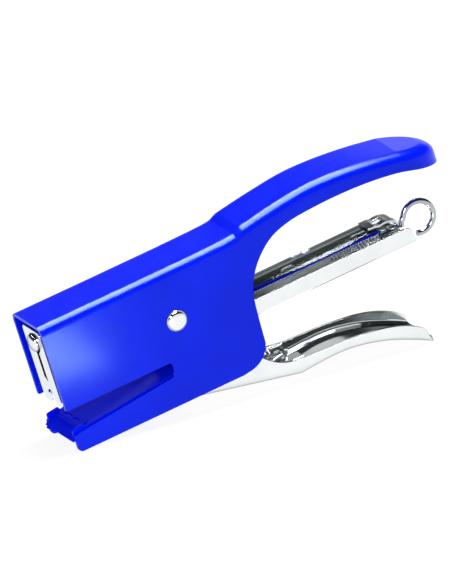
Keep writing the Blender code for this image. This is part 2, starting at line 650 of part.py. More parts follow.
def build_magazine():
    floor_top = MAG_FLOOR + MAG_FLOOR_THICKNESS
    side = [(MAG_FRONT, MAG_FLOOR), (MAG_REAR - MAG_REAR_CHAMFER, MAG_FLOOR)]
    side += arc((MAG_REAR - MAG_REAR_CORNER, MAG_WALL_TOP - MAG_REAR_CORNER), MAG_REAR_CORNER, 0, 90, 4)
    side += [(EAR_FOOT_REAR, MAG_WALL_TOP), (COVER_STEP, COVER_BOTTOM - GAP)]
    side += [(COVER_FRONT, COVER_BOTTOM - GAP)]
    side += arc((0, 0), MAG_EAR, -25, 205, 9) + [(EAR_FOOT_FRONT, MAG_WALL_TOP), (MAG_FRONT, MAG_WALL_TOP)]
    solid = outline_mesh("magazine_channel", side, -MAG_OUTER, MAG_OUTER)
    channel = place("magazine_channel", solid, MAGAZINE, CHROME)
    ends = (MAG_FRONT - GAP, MAG_REAR + GAP)
    inside = box_mesh("cut_channel", (ends[0], -MAG_INNER, floor_top), (ends[1], MAG_INNER, REACH))
    boolean(channel, as_cutter("cut_channel", inside), "DIFFERENCE")
    boolean(channel, PIVOT_CUTTER, "DIFFERENCE")

    low, inner_low = floor_top + GAP, floor_top + GAP + CORE_OUTER - CORE_INNER
    half = [(CORE_OUTER, low), (CORE_OUTER, CORE_TOP), (CORE_INNER, CORE_TOP), (CORE_INNER, inner_low)]
    core = half + [(-y, z) for y, z in half[::-1]]
    place("staple_core", outline_mesh("staple_core", core, MAG_FRONT, CORE_REAR, "X"), MAGAZINE, STEEL)

    foot_y, foot_z = MAG_OUTER - NOSE_FOOT_CHAMFER[0], MAG_FLOOR + NOSE_FOOT_CHAMFER[1]
    plate = [(-MAG_OUTER, foot_z), (-foot_y, MAG_FLOOR)]
    plate += [(-NOSE_NOTCH_HALF_WIDTH, MAG_FLOOR)]
    plate += arc((0, NOSE_NOTCH_TOP - NOSE_NOTCH_HALF_WIDTH), NOSE_NOTCH_HALF_WIDTH, 180, 0, 6)
    plate += [(NOSE_NOTCH_HALF_WIDTH, MAG_FLOOR), (foot_y, MAG_FLOOR), (MAG_OUTER, foot_z)]
    corner_y, corner_z = MAG_OUTER - NOSE_CORNER, NOSE_TOP - NOSE_CORNER
    plate += arc((corner_y, corner_z), NOSE_CORNER, 0, 90, 3)
    plate += arc((-corner_y, corner_z), NOSE_CORNER, 90, 180, 3)
    neck = degrees(asin(NOSE_SLOT_HALF_WIDTH / NOSE_HOLE_RADIUS))
    keyhole = arc((0, NOSE_HOLE_HEIGHT), NOSE_HOLE_RADIUS, neck - 90, 270 - neck, 14)
    far_foot, near_foot = NOSE_SLOT_FEET
    keyhole += [(-NOSE_SLOT_HALF_WIDTH, near_foot), (NOSE_SLOT_HALF_WIDTH, far_foot)]
    nose = outline_mesh("magazine_nose", plate, NOSE_FRONT, NOSE_BACK, "X", (keyhole,))
    place("magazine_nose", nose, MAGAZINE, CHROME)

    bush = tube_profile(PIVOT_HOLE, BUSH_RADIUS, GAP - MAG_INNER, MAG_INNER - GAP)
    turned("pivot_bush", bush, "Y", (0, 0), MAGAZINE, STEEL)
    build_cover()


def rounded_slot(centre, half_length, radius):
    """An oval hole along X, seen from above."""
    return (arc((centre[0] + half_length - radius, centre[1]), radius, -90, 90, 5)
            + arc((centre[0] - half_length + radius, centre[1]), radius, 90, 270, 5))


def build_cover():
    half, corner = COVER_HALF_WIDTH, COVER_CORNER
    outline = [(COVER_FRONT, -half)] + arc((COVER_REAR - corner, corner - half), corner, -90, 0, 4)
    outline += arc((COVER_REAR - corner, half - corner), corner, 0, 90, 4) + [(COVER_FRONT, half)]
    holes = [rounded_slot(*hole) for hole in COVER_HOLES]
    top = COVER_BOTTOM + COVER_THICKNESS
    strip = outline_mesh("magazine_cover", outline, COVER_BOTTOM, top, "Z", holes)
    cover = place("magazine_cover", strip, MAGAZINE, DARK_STEEL)
    bead_foot, bead_top = top - COVER_THICKNESS / 2, top + COVER_BEAD_HEIGHT
    bead = outline_mesh("join_bead", rounded_slot(*COVER_BEAD), bead_foot, bead_top, "Z")
    boolean(cover, as_cutter("join_bead", bead), "UNION")

    shank, head = COVER_RIVET_RADIUS, 1.9 * COVER_RIVET_RADIUS
    profile = ((0.0, top + 0.9), (1.2 * shank, top + 0.75), (head, top + 0.3), (head, top + CLOSE_GAP),
               (shank, top + CLOSE_GAP), (shank, COVER_BOTTOM), (0.0, COVER_BOTTOM))
    for n, x in enumerate(COVER_RIVET_X, 1):
        name = f"cut_cover_rivet_{n}"
        hole = pin_mesh(name, shank + GAP, -REACH, REACH, "Z", (x, COVER_RIVET_Y), 16)
        boolean(cover, as_cutter(name, hole), "DIFFERENCE")
        rivet = turned(f"cover_rivet_{n}", profile, "Y", (0, 0), MAGAZINE, STEEL, 16)
        rivet.matrix_basis = Matrix.Translation(Vector((x, COVER_RIVET_Y, 0.0)) * MM)

    base = top + GAP + BRACKET_SHEET / 2
    (centre_x, centre_z), (half_length, height) = BRACKET_CENTRE, BRACKET_ARCH
    arch = [(x, base) for x in BRACKET_FOOT]
    arch += [(centre_x + half_length * x, centre_z + height * z)
             for x, z in arc((0, 0), 1, BRACKET_ARCH_FROM, 0, 8)]
    arch += [BRACKET_END]
    bracket = place("end_bracket", strip_mesh("end_bracket", arch, BRACKET_HALF_WIDTH), MAGAZINE, STEEL)
    thicken(bracket, BRACKET_SHEET, 0.0)
    low, high, half = BRACKET_WINDOW
    window = box_mesh("cut_window", (low, -half, base - BRACKET_SHEET), (high, half, base + 2 * BRACKET_SHEET))
    boolean(bracket, as_cutter("cut_window", window), "DIFFERENCE")


def build_driver():
    blade = box_mesh("driver_blade", (BLADE_FRONT, -BLADE_HALF_WIDTH, BLADE_BOTTOM),
                     (BLADE_BACK, BLADE_HALF_WIDTH, BLADE_TOP))
    blade = place("driver_blade", blade, DRIVER, STEEL)
    height, width = BLADE_WINDOW_HALF_HEIGHT, BLADE_WINDOW_HALF_WIDTH
    window = box_mesh("cut_blade_window", (BLADE_FRONT - GAP, -width, TAB_HEIGHT - height),
                      (BLADE_BACK + GAP, width, TAB_HEIGHT + height))
    boolean(blade, as_cutter("cut_blade_window", window), "DIFFERENCE")


# ---------------------------------------------------------------- follower and pusher

def build_follower():
    rod_at = (0, ROD_HEIGHT)
    rod = ((0.0, ROD_REAR), (ROD_RADIUS, ROD_REAR), (ROD_RADIUS, ROD_FRONT), (0.0, ROD_FRONT))
    turned("guide_rod", rod, "X", rod_at, FOLLOWER, CHROME, 16)
    ends = (COLLAR_FRONT, COLLAR_REAR)
    turned("rod_collar", tube_profile(ROD_RADIUS + GAP, COLLAR_RADIUS, *ends), "X", rod_at, FOLLOWER, CHROME)
    washer = tube_profile(ROD_RADIUS + GAP, RING_WASHER_RADIUS, COLLAR_REAR + GAP, ROD_REAR - CLOSE_GAP)
    turned("ring_washer", washer, "X", rod_at, FOLLOWER, STEEL, 16)
    stem = [(ROD_REAR + RING_WIRE + 0.1, ROD_HEIGHT - 0.2), (ROD_REAR + RING_WIRE + 0.5, ROD_HEIGHT + 1.2)]
    path = stem + arc(RING_CENTRE, RING_RADIUS, 156, -112, 20)
    place("pull_ring", wire_mesh("pull_ring", [(x, 0.0, z) for x, z in path], RING_WIRE), FOLLOWER, CHROME)

    sleeve = tube_profile(ROD_RADIUS + GAP, SLEEVE_RADIUS, SLEEVE_FRONT, SLEEVE_REAR)
    turned("pusher_sleeve", sleeve, "X", rod_at, PUSHER, CHROME)
    under, leg, tongue = CORE_TOP + GAP, CORE_OUTER + GAP, CORE_INNER - GAP
    half = [(tongue, PUSHER_TONGUE_BOTTOM), (tongue, under), (leg, under), (leg, PUSHER_BOTTOM),
            (PUSHER_HALF_WIDTH, PUSHER_BOTTOM), (PUSHER_HALF_WIDTH, COVER_BOTTOM - GAP)]
    outline = half + [(-y, z) for y, z in half[::-1]]
    hole = arc((0, ROD_HEIGHT), ROD_RADIUS + GAP, 0, 345, 15)
    block = outline_mesh("pusher_block", outline, PUSHER_FRONT, PUSHER_REAR, "X", (hole,))
    place("pusher_block", block, PUSHER, STEEL)

    per_turn, start, end = 8, SLEEVE_REAR + 2 * GAP, COLLAR_FRONT - 2 * GAP
    count = per_turn * PUSHER_SPRING_TURNS
    coil = []
    for n in range(count + 1):
        turn = 2 * pi * n / per_turn
        coil.append((start + (end - start) * n / count, PUSHER_SPRING_RADIUS * cos(turn),
                     ROD_HEIGHT + PUSHER_SPRING_RADIUS * sin(turn)))
    place("pusher_spring", wire_mesh("pusher_spring", coil, PUSHER_SPRING_WIRE), FOLLOWER, STEEL)


# ---------------------------------------------------------------- standing pose

def stand_up():
    """Turn the tool onto its jaw nose and its lever's end, and put the origin under the middle of its box."""
    nose_x, nose_z = BODY_FRONT + JAW_CORNER, JAW_BOTTOM + JAW_CORNER
    end_x, end_z = LEVER_END, height_on(smooth(LEVER_GRIP, 3), LEVER_END)
    reach = hypot(end_x - nose_x, end_z - nose_z)
    tilt = atan2(nose_z - end_z, end_x - nose_x) - asin(JAW_CORNER / reach)
    FRAME.rotation_euler = (0.0, -tilt, 0.0)
    bpy.context.view_layer.update()
    graph = bpy.context.evaluated_depsgraph_get()
    corners = []
    for thing in PARTS.objects:
        if thing.type == "MESH":
            seen = thing.evaluated_get(graph).to_mesh()
            corners += [thing.matrix_world @ vertex.co for vertex in seen.vertices]
            thing.evaluated_get(graph).to_mesh_clear()
    lengths = [corner.x for corner in corners]
    FRAME.location = (-(min(lengths) + max(lengths)) / 2, 0.0, -min(corner.z for corner in corners))
    bpy.context.view_layer.update()


clear_scene()
PARTS = new_collection("plier_stapler")
CUTTERS = new_collection("cutters")
FRAME = joint_empty("stapler_frame", None, 0.0, 0.0)
LEVER = joint_empty("lever_pivot", FRAME, 0.0, 0.0)
MAGAZINE = joint_empty("magazine_pivot", FRAME, 0.0, 0.0)
DRIVER = joint_empty("driver_slide", MAGAZINE, BLADE_FRONT, 0.0)
FOLLOWER = joint_empty("follower_slide", MAGAZINE, ROD_REAR, ROD_HEIGHT)
PUSHER = joint_empty("pusher_slide", FOLLOWER, SLEEVE_REAR, ROD_HEIGHT)
PIVOT_CUTTER = as_cutter("cut_pivot", pin_mesh("cut_pivot", PIVOT_HOLE, -16, 16, "Y", (0, 0)))

build_body()
build_jaw()
build_return_spring()
build_lever()
build_magazine()
build_driver()
build_follower()
stand_up()
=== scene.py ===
import json
from math import asin, atan2, cos, degrees, hypot, pi, radians, sin

import bmesh
import bpy
from mathutils import Matrix, Vector


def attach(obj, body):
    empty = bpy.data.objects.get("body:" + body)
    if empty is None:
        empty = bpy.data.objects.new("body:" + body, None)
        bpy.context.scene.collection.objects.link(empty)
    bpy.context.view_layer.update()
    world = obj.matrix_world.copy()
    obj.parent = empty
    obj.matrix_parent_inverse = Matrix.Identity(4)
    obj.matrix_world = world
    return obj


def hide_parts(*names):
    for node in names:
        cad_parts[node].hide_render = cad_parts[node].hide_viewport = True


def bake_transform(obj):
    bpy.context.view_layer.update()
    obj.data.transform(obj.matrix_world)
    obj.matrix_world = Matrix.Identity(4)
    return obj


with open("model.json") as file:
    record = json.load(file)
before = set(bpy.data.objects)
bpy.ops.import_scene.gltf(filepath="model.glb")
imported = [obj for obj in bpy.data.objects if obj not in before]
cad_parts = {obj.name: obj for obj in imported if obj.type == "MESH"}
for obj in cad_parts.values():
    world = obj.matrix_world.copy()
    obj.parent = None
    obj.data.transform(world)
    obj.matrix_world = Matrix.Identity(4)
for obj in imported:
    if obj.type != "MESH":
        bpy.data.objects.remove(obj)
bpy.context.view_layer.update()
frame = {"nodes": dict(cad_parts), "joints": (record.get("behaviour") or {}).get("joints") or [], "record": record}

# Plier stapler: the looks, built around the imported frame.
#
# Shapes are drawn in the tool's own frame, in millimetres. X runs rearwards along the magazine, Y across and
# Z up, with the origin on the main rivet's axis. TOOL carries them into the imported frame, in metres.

MM = 0.001
JOINTS = {joint["name"]: joint for joint in frame["joints"]}
PIVOT = Vector(JOINTS["lever_pivot"]["pos_m"])
ALONG = Vector(JOINTS["follower_slide"]["axis"]).normalized()
ACROSS = Vector((0.0, 1.0, 0.0))
UPWARD = ALONG.cross(ACROSS)
TOOL = Matrix.Translation(PIVOT) @ Matrix((ALONG, ACROSS, UPWARD)).transposed().to_4x4() @ Matrix.Scale(MM, 4)

MERGE = 0.01                    # vertices closer than this are one
REACH = 20.0                    # half the length of a cutter that goes right across the tool
GAP = 0.3                       # air between pieces that lie on each other
CLOSE_GAP = 0.12

# Folded body: head, jaw walls and upper handle, one sheet.
BODY_HALF_WIDTH = 13.0
BODY_SHEET = 1.2
BODY_FRONT = -50.8
BODY_TOP = ((-56.0, 19.8), (22.0, 19.8), (35.0, 22.0), (49.0, 24.2), (63.0, 25.7), (76.0, 25.4), (89.0, 24.0),
            (101.0, 22.0))
BODY_STATIONS = (-54.0, -20.0, 8.0)
BODY_SECTION_LOW = -34.0
HANDLE_SECTION_LOW = 4.0
HANDLE_SECTION_FROM = 56.0
BODY_SECTION_HIGH = 34.0
HEAD_BEND = 3.4
HANDLE_BEND = 4.0
HANDLE_BEND_FROM = 22.0
HANDLE_BEND_TO = 52.0
TIP_LENGTH = 16.5
TIP_FALL = 0.27
HEAD_BOTTOM = -14.3
THROAT_END = -6.7
THROAT_CORNER = 2.0
JAW_TOP_FRONT = -24.3
JAW_TOP_REAR = -20.1
JAW_BOTTOM = -31.2
JAW_CORNER = 2.0
JAW_SLOPE = (JAW_TOP_REAR - JAW_TOP_FRONT) / (THROAT_END - BODY_FRONT)
REAR_CORNER = ((18.0, -31.2), (23.5, -30.2), (27.6, -27.4), (29.8, -23.2))
REAR_EDGE = ((30.2, -13.4), (31.1, -3.5), (33.9, 3.6), (38.6, 9.6), (44.6, 14.1), (52.0, 16.5), (60.0, 17.4),
             (72.5, 17.8), (86.0, 17.2), (98.7, 15.4), (108.0, 12.5), (118.0, 9.3), (126.0, 7.0))

# Main pivot.
PIVOT_RADIUS = 2.5
RIVET_HEAD_RADIUS = 3.55
RIVET_HEAD_HEIGHT = 0.9
RIVET_WASHER_RADIUS = 4.0
RIVET_WASHER_THICKNESS = 0.3

# Lever: the lower handle.
LEVER_HALF_WIDTH = 11.2
LEVER_SHEET = 1.4
LEVER_FRONT = -5.0
LEVER_FRONT_TOP = -12.0
LEVER_END = 93.6
LEVER_BEND = 3.0
LEVER_END_CORNER = 6.0
LEVER_STATIONS = (-10.0, 14.0, 33.0, 36.0)
LEVER_SECTION_HIGH = 12.0
LEVER_GRIP_SECTION_HIGH = -30.0
LEVER_SECTION_LOW = -62.0
LEVER_BOTTOM = (-12.0, -30.0)
LEVER_GRIP = ((40.6, -41.9), (46.0, -41.5), (54.0, -41.1), (61.0, -41.4), (67.0, -42.4), (73.5, -44.1),
              (79.5, -46.3), (85.4, -49.0), (90.0, -51.4), (96.0, -54.9))
LEVER_BOSS = 8.0
LEVER_EDGE = ((7.6, 2.5), (12.0, -8.0), (20.0, -20.5), (28.0, -29.6), (34.5, -34.2), (42.7, -35.9),
              (52.0, -36.4), (62.0, -37.0), (74.7, -38.9), (84.0, -42.0), (91.0, -46.6), (94.6, -52.5))

# Magazine: channel, nose, cover, bracket.
MAG_OUTER = 7.8
MAG_INNER = 6.9
MAG_FLOOR = -14.5
MAG_FLOOR_THICKNESS = 0.9
MAG_FOLD = 1.1                  # outer radius of the channel's two folds
MAG_WALL_TOP = -8.1
MAG_FRONT = -47.2
MAG_REAR = 98.6
MAG_REAR_CORNER = 3.0
MAG_EAR = 5.6
EAR_FOOT_FRONT = -14.0
EAR_FOOT_REAR = 27.0
COVER_STEP = 25.0
NOSE_FRONT = -50.0
NOSE_BACK = -48.8
NOSE_TOP = 16.0
NOSE_CORNER = 2.0
NOSE_HOLE_HEIGHT = 10.2
NOSE_HOLE_RADIUS = 4.0
NOSE_SLOT_HALF_WIDTH = 1.3
NOSE_SLOT_ENDS = (-3.6, -5.5)   # the slot's foot slants, from the far side to the near side
STUD_RADIUS = 3.5                # the driver's round stud, in front of the keyhole
STUD_SHANK = 1.0
STUD_HEIGHT = 2.0
STUD_Z = 10.5
NOSE_NOTCH_HALF_WIDTH = 2.4
NOSE_NOTCH_TOP = -9.0
COVER_BOTTOM = -5.8
COVER_HALF_WIDTH = 7.7
COVER_FRONT = 14.0
COVER_REAR = 86.5
COVER_CORNER = 2.5
COVER_CROWN = -4.3              # top of the crowned strip, along its middle
COVER_CURVE = 26.0              # radius of the crown
COVER_SHEET = 0.35
COVER_HOLES = (((49.8, -3.0), 2.9, 1.6), ((79.5, -2.6), 3.4, 1.2))
COVER_BEAD = ((56.6, 4.6), 2.4, 1.3)
COVER_BEAD_LEVELS = (-0.5, 0.6)         # its foot and top, from the crown
COVER_DIMPLES = (50.0, 59.0, 6, 5.4)    # first and last along the strip, how many, across
COVER_DIMPLE_RADIUS = 0.5
COVER_TEETH = (31.0, 83.0, 1.06, 0.45)  # both long edges: from, to, pitch, depth
BRACKET_CENTRE = (90.0, -6.8)
BRACKET_ARCH = (4.8, 2.9)       # half length, height
BRACKET_ARCH_FROM = 115         # degrees
BRACKET_SHEET = 0.8
BRACKET_HALF_WIDTH = 4.4
BRACKET_FOOT = (83.2, 86.0)
BRACKET_END = (94.9, -7.0)
BRACKET_WINDOW = (86.6, 90.0, 1.7)

# Follower and pusher.
ROD_HEIGHT = -9.8
ROD_RADIUS = 1.0
ROD_FRONT = -45.0
ROD_REAR = 96.0
COLLAR_RADIUS = 2.1
COLLAR_FRONT = 88.0
COLLAR_REAR = 94.6
RING_CENTRE = (104.5, -9.3)
RING_RADIUS = 6.1
RING_WIRE = 1.05
RING_WASHER_RADIUS = 1.8
SLEEVE_FRONT = -34.6
SLEEVE_REAR = 67.0
SLEEVE_RADIUS = 1.9
PUSHER_SPRING_RADIUS = 1.55
PUSHER_SPRING_WIRE = 0.3
PUSHER_SPRING_TURNS = 15

# Lower jaw.
ANVIL_HALF_WIDTH = 11.75
ANVIL_SHEET = 1.2
ANVIL_REAR = 2.0
ANVIL_NECK = -6.9
ANVIL_TONGUE_HALF_WIDTH = 8.4
ANVIL_FOLD = (-48.5, -23.3)
ANVIL_LIP = (-52.0, -26.2)
ANVIL_FLANGE = (-50.6, -45.6, 1.3, 0.9)     # side flanges: front, rear, height, thickness
ANVIL_BAR = (-46.6, -43.4, 0.35)            # raised forming bar: front, rear, height
ANVIL_GROOVES = (1.3, 6.4)                  # the staple's legs turn in here: inner and outer side
ANVIL_GROOVE_HALF_LENGTH = 0.7
ANVIL_FOLD_ROUND = 1.2                      # how far from the fold its rounding begins
ANVIL_LOBES = (10.2, 6.3)                   # small lobes at the foot of the lip
STRAP_HOLE_X = 6.5
STRAP_HEIGHT = -26.9
SPRING_FRONT = (11.0, -28.4)
SPRING_REAR = (33.8, -34.6)
SPRING_RADIUS = 2.5
SPRING_WIRE = 0.6
SPRING_TURNS = 13
HOOK_PROFILE = ((45.5, -39.1), (38.4, -38.9), (39.6, -33.4))
HOOK_HALF_WIDTH = 3.0
HOOK_SHEET = 1.0
HOOK_HOLE = (39.1, -36.2)
HOOK_HOLE_RADIUS = 1.2


# ---------------------------------------------------------------- drawing helpers, in millimetres

def arc(centre, radius, start, end, steps):
    """Points of a circular arc; the angles are in degrees, anticlockwise from +X."""
    angles = [radians(start + (end - start) * n / steps) for n in range(steps + 1)]
    return [(centre[0] + radius * cos(a), centre[1] + radius * sin(a)) for a in angles]


def smooth(points, steps):
    """A Catmull-Rom curve through the points."""
    path = []
    for n in range(len(points) - 1):
        before, a, b, after = (Vector(points[min(max(n + k, 0), len(points) - 1)]) for k in (-1, 0, 1, 2))
        for step in range(steps):
            t = step / steps
            path.append(tuple(a + 0.5 * t * (b - before) + t * t * (before - 2.5 * a + 2 * b - 0.5 * after)
                              + t ** 3 * 0.5 * (3 * a - 3 * b + after - before)))
    return path + [tuple(points[-1])]


def height_on(path, x):
    """The height of a side-view line at x."""
    for (x0, z0), (x1, z1) in zip(path, path[1:]):
        if x0 <= x <= x1:
            return z0 + (z1 - z0) * (x - x0) / (x1 - x0)
    return path[-1][1]


def held(name, data):
    """A working object, in the scene so that its modifiers can be evaluated."""
    thing = bpy.data.objects.new(name, data)
    bpy.context.scene.collection.objects.link(thing)
    return thing


def evaluated(thing):
    """The mesh that an object's modifiers give; the object and its cutters go."""
    graph = bpy.context.evaluated_depsgraph_get()
    mesh = bpy.data.meshes.new_from_object(thing.evaluated_get(graph), preserve_all_data_layers=True,
                                           depsgraph=graph)
    cutters = [step.object for step in thing.modifiers if step.type == "BOOLEAN"]
    for used in [thing, *dict.fromkeys(cutters)]:
        bpy.data.objects.remove(used, do_unlink=True)
    return mesh


AXES = {
    "Y": Matrix(((1, 0, 0), (0, 0, -1), (0, 1, 0))).to_4x4(),   # outline in XZ, thickness along Y
    "X": Matrix(((0, 0, 1), (1, 0, 0), (0, 1, 0))).to_4x4(),    # outline in YZ, thickness along X
    "Z": Matrix.Identity(4),                                    # outline in XY, thickness along Z
}


def outline_mesh(outline, low, high, axis="Y", holes=()):
    """A flat outline with holes, extruded from low to high along an axis."""
    curve = bpy.data.curves.new("outline", "CURVE")
    curve.dimensions = "2D"
    curve.fill_mode = "BOTH"
    curve.extrude = (high - low) / 2
    for loop in (outline, *holes):
        spline = curve.splines.new("POLY")
        spline.points.add(len(loop) - 1)
        spline.use_cyclic_u = True
        for point, (a, b) in zip(spline.points, loop):
            point.co = (a, b, 0.0, 1.0)
    middle = (high + low) / 2
    shift = {"X": (middle, 0, 0), "Y": (0, middle, 0), "Z": (0, 0, middle)}[axis]
    return welded(evaluated(held("outline", curve)), Matrix.Translation(shift) @ AXES[axis])


def welded(mesh, matrix=Matrix.Identity(4)):
    """Close a mesh whose caps are loose, dissolve its flat triangles, and turn its faces outwards."""
    mesh.transform(matrix)
    shape = bmesh.new()
    shape.from_mesh(mesh)
    bmesh.ops.remove_doubles(shape, verts=shape.verts, dist=MERGE)
    bmesh.ops.dissolve_limit(shape, angle_limit=radians(0.1), verts=shape.verts, edges=shape.edges)
    bmesh.ops.recalc_face_normals(shape, faces=shape.faces)
    shape.to_mesh(mesh)
    shape.free()
    return mesh


def box_mesh(low, high):
    return outline_mesh([(low[0], low[1]), (high[0], low[1]), (high[0], high[1]), (low[0], high[1])],
                        low[2], high[2], "Z")


def boolean(thing, mesh, operation="DIFFERENCE"):
    step = thing.modifiers.new("cut", "BOOLEAN")
    step.operation = operation
    step.solver = "EXACT"
    step.object = held("cutter", mesh)


def soften(thing, width, segments=3, angle=35):
    """Round the edges that turn by more than an angle, and keep the flat faces flat."""
    step = thing.modifiers.new("soften", "BEVEL")
    step.width = width
    step.segments = segments
    step.limit_method = "ANGLE"
    step.angle_limit = radians(angle)
    step.miter_outer = "MITER_ARC"
    weighted = thing.modifiers.new("weighted", "WEIGHTED_NORMAL")
    weighted.keep_sharp = True
    weighted.weight = 100


def thicken(thing, thickness, offset):
    sheet = thing.modifiers.new("sheet", "SOLIDIFY")
    sheet.thickness = thickness
    sheet.offset = offset
    sheet.use_even_offset = True


def section(half_width, bend, top, bottom, bend_steps):
    """Half a channel's cross section, from the middle of its web out round the bend and along its wall."""
    side = 1 if top > bottom else -1
    points = [(0.0, top), (half_width - bend, top)]
    points += [(half_width - bend + bend * sin(a), top - side * bend * (1 - cos(a)))
               for a in (pi / 2 * n / bend_steps for n in range(1, bend_steps + 1))]
    return points + [(half_width, bottom)]


def loft(rows, outside_up):
    """A surface over rows of points; equal points are merged."""
    shape = bmesh.new()
    grid = [[shape.verts.new(point) for point in row] for row in rows]
    for near, far in zip(grid, grid[1:]):
        for n in range(len(near) - 1):
            ring = [near[n], far[n], far[n + 1], near[n + 1]]
            shape.faces.new(ring if outside_up else ring[::-1])
    bmesh.ops.remove_doubles(shape, verts=shape.verts, dist=MERGE)
    mesh = bpy.data.meshes.new("loft")
    shape.to_mesh(mesh)
    shape.free()
    return mesh


def folded_sheet(rows, outside_up, thickness):
    """A folded channel: half of it is lofted, mirrored in the middle plane and thickened inwards."""
    thing = held("sheet", loft(rows, outside_up))
    mirror = thing.modifiers.new("other_half", "MIRROR")
    mirror.use_axis = (False, True, False)
    mirror.merge_threshold = MERGE
    thicken(thing, thickness, -1.0)
    return thing


def turned_mesh(profile, axis, centre, steps=48):
    """A turned solid: (radius, height) points run down its outer side, from one end to the other."""
    shape = bmesh.new()
    corners = [shape.verts.new((radius, 0.0, height)) for radius, height in profile]
    pairs = list(zip(corners, corners[1:]))
    if profile[0][0] > 0:
        pairs.append((corners[-1], corners[0]))
    edges = [shape.edges.new(pair) for pair in pairs]
    bmesh.ops.spin(shape, geom=corners + edges, cent=(0, 0, 0), axis=(0, 0, 1), angle=2 * pi, steps=steps)
    bmesh.ops.remove_doubles(shape, verts=shape.verts, dist=MERGE)
    bmesh.ops.recalc_face_normals(shape, faces=shape.faces)
    mesh = bpy.data.meshes.new("turned")
    shape.to_mesh(mesh)
    shape.free()
    turn = {"X": Matrix.Rotation(pi / 2, 4, "Y"), "Y": Matrix.Rotation(-pi / 2, 4, "X"),
            "Z": Matrix.Identity(4)}
    spot = {"X": (0, *centre), "Y": (centre[0], 0, centre[1]), "Z": (*centre, 0)}[axis]
    mesh.transform(Matrix.Translation(spot) @ turn[axis])
    return mesh


def pin_mesh(radius, low, high, axis, centre, steps=32):
    return turned_mesh(((0.0, high), (radius, high), (radius, low), (0.0, low)), axis, centre, steps)


def wire_mesh(points, radius, sides=4):
    """A round wire along three-dimensional points, closed at its ends."""
    curve = bpy.data.curves.new("wire", "CURVE")
    curve.dimensions = "3D"
    curve.bevel_depth = radius
    curve.bevel_resolution = sides
    curve.use_fill_caps = True
    spline = curve.splines.new("POLY")
    spline.points.add(len(points) - 1)
    for point, spot in zip(spline.points, points):
        point.co = (*spot, 1.0)
    mesh = evaluated(held("wire", curve))
    shape = bmesh.new()
    shape.from_mesh(mesh)
    bmesh.ops.remove_doubles(shape, verts=shape.verts, dist=MERGE)
    bmesh.ops.recalc_face_normals(shape, faces=shape.faces)
    shape.to_mesh(mesh)
    shape.free()
    return mesh


def helix(start, along, up, length, turns, radius, per_turn):
    """Points of a coil about a line, from its start."""
    across = Vector((0.0, 1.0, 0.0))
    points = []
    for n in range(int(turns * per_turn) + 1):
        turn = 2 * pi * n / per_turn - pi / 2
        centre = start + along * length * n / (turns * per_turn)
        points.append(centre + radius * (up * sin(turn) + across * cos(turn)))
    return points


def strip(profile, half_width, thickness, offset=0.0):
    """A ribbon: a side-view line swept across the tool and thickened."""
    rows = [[(x, y, z) for y in (-half_width, half_width)] for x, z in profile]
    thing = held("strip", loft(rows, True))
    thicken(thing, thickness, offset)
    return thing


def shown(name, mesh, body, look, nodes, sharp=40.0):
    """A finished piece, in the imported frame: it rides on its body and stands for its CAD nodes."""
    mesh.transform(TOOL)
    mesh.materials.clear()
    for finish in look if isinstance(look, tuple) else (look,):
        mesh.materials.append(finish)
    if sharp:
        mesh.shade_smooth()
        mesh.set_sharp_from_angle(angle=radians(sharp))
    piece = held(name, mesh)
    if body:
        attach(piece, body)
    if nodes:
        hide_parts(*nodes)
    return piece


# ---------------------------------------------------------------- materials

ENAMEL_TINT = (0.52, 0.92, 1.0, 1.0)    # the enamel's reflections
# Painted shade: metal seen at a glancing angle reflects darker here, standing for the shade under the tool in its
# lower bends and edges.
GLANCING_SHADE_TINT = (0.22, 0.25, 0.26, 1.0)     # metal seen at a glancing angle
PALE_TINT = (0.9, 0.92, 0.93, 1.0)      # the same, where the plating stays bright


def shader_of(name, metallic, roughness):
    """A new material and its Principled shader."""
    look = bpy.data.materials.new(name)
    look.use_nodes = True
    shader = look.node_tree.nodes["Principled BSDF"]
    shader.inputs["Metallic"].default_value = metallic
    shader.inputs["Roughness"].default_value = roughness
    return look, shader


def noise(look, scale, detail=3.0, stretch=(1.0, 1.0, 1.0)):
    """A noise value over the piece, in its own coordinates."""
    tree = look.node_tree
    place = tree.nodes.new("ShaderNodeTexCoord")
    turn = tree.nodes.new("ShaderNodeMapping")
    turn.inputs["Scale"].default_value = stretch
    grain = tree.nodes.new("ShaderNodeTexNoise")
    grain.inputs["Scale"].default_value = scale
    grain.inputs["Detail"].default_value = detail
    tree.links.new(place.outputs["Object"], turn.inputs["Vector"])
    tree.links.new(turn.outputs["Vector"], grain.inputs["Vector"])
    return grain.outputs["Fac"]


def ramp(look, value, stops):
    """Colours along a value; stops are (place, colour)."""
    node = look.node_tree.nodes.new("ShaderNodeValToRGB")
    while len(node.color_ramp.elements) < len(stops):
        node.color_ramp.elements.new(0.5)
    for element, (where, colour) in zip(node.color_ramp.elements, stops):
        element.position = where
        element.color = (*colour, 1.0)
    look.node_tree.links.new(value, node.inputs["Fac"])
    return node.outputs["Color"]


def spread(look, value, low, high):
    """A value between low and high."""
    node = look.node_tree.nodes.new("ShaderNodeMapRange")
    node.inputs["To Min"].default_value = low
    node.inputs["To Max"].default_value = high
    look.node_tree.links.new(value, node.inputs["Value"])
    return node.outputs["Result"]


def bumpy(look, shader, value, distance, strength=0.3):
    node = look.node_tree.nodes.new("ShaderNodeBump")
    node.inputs["Strength"].default_value = strength
    node.inputs["Distance"].default_value = distance
    look.node_tree.links.new(value, node.inputs["Height"])
    look.node_tree.links.new(node.outputs["Normal"], shader.inputs["Normal"])


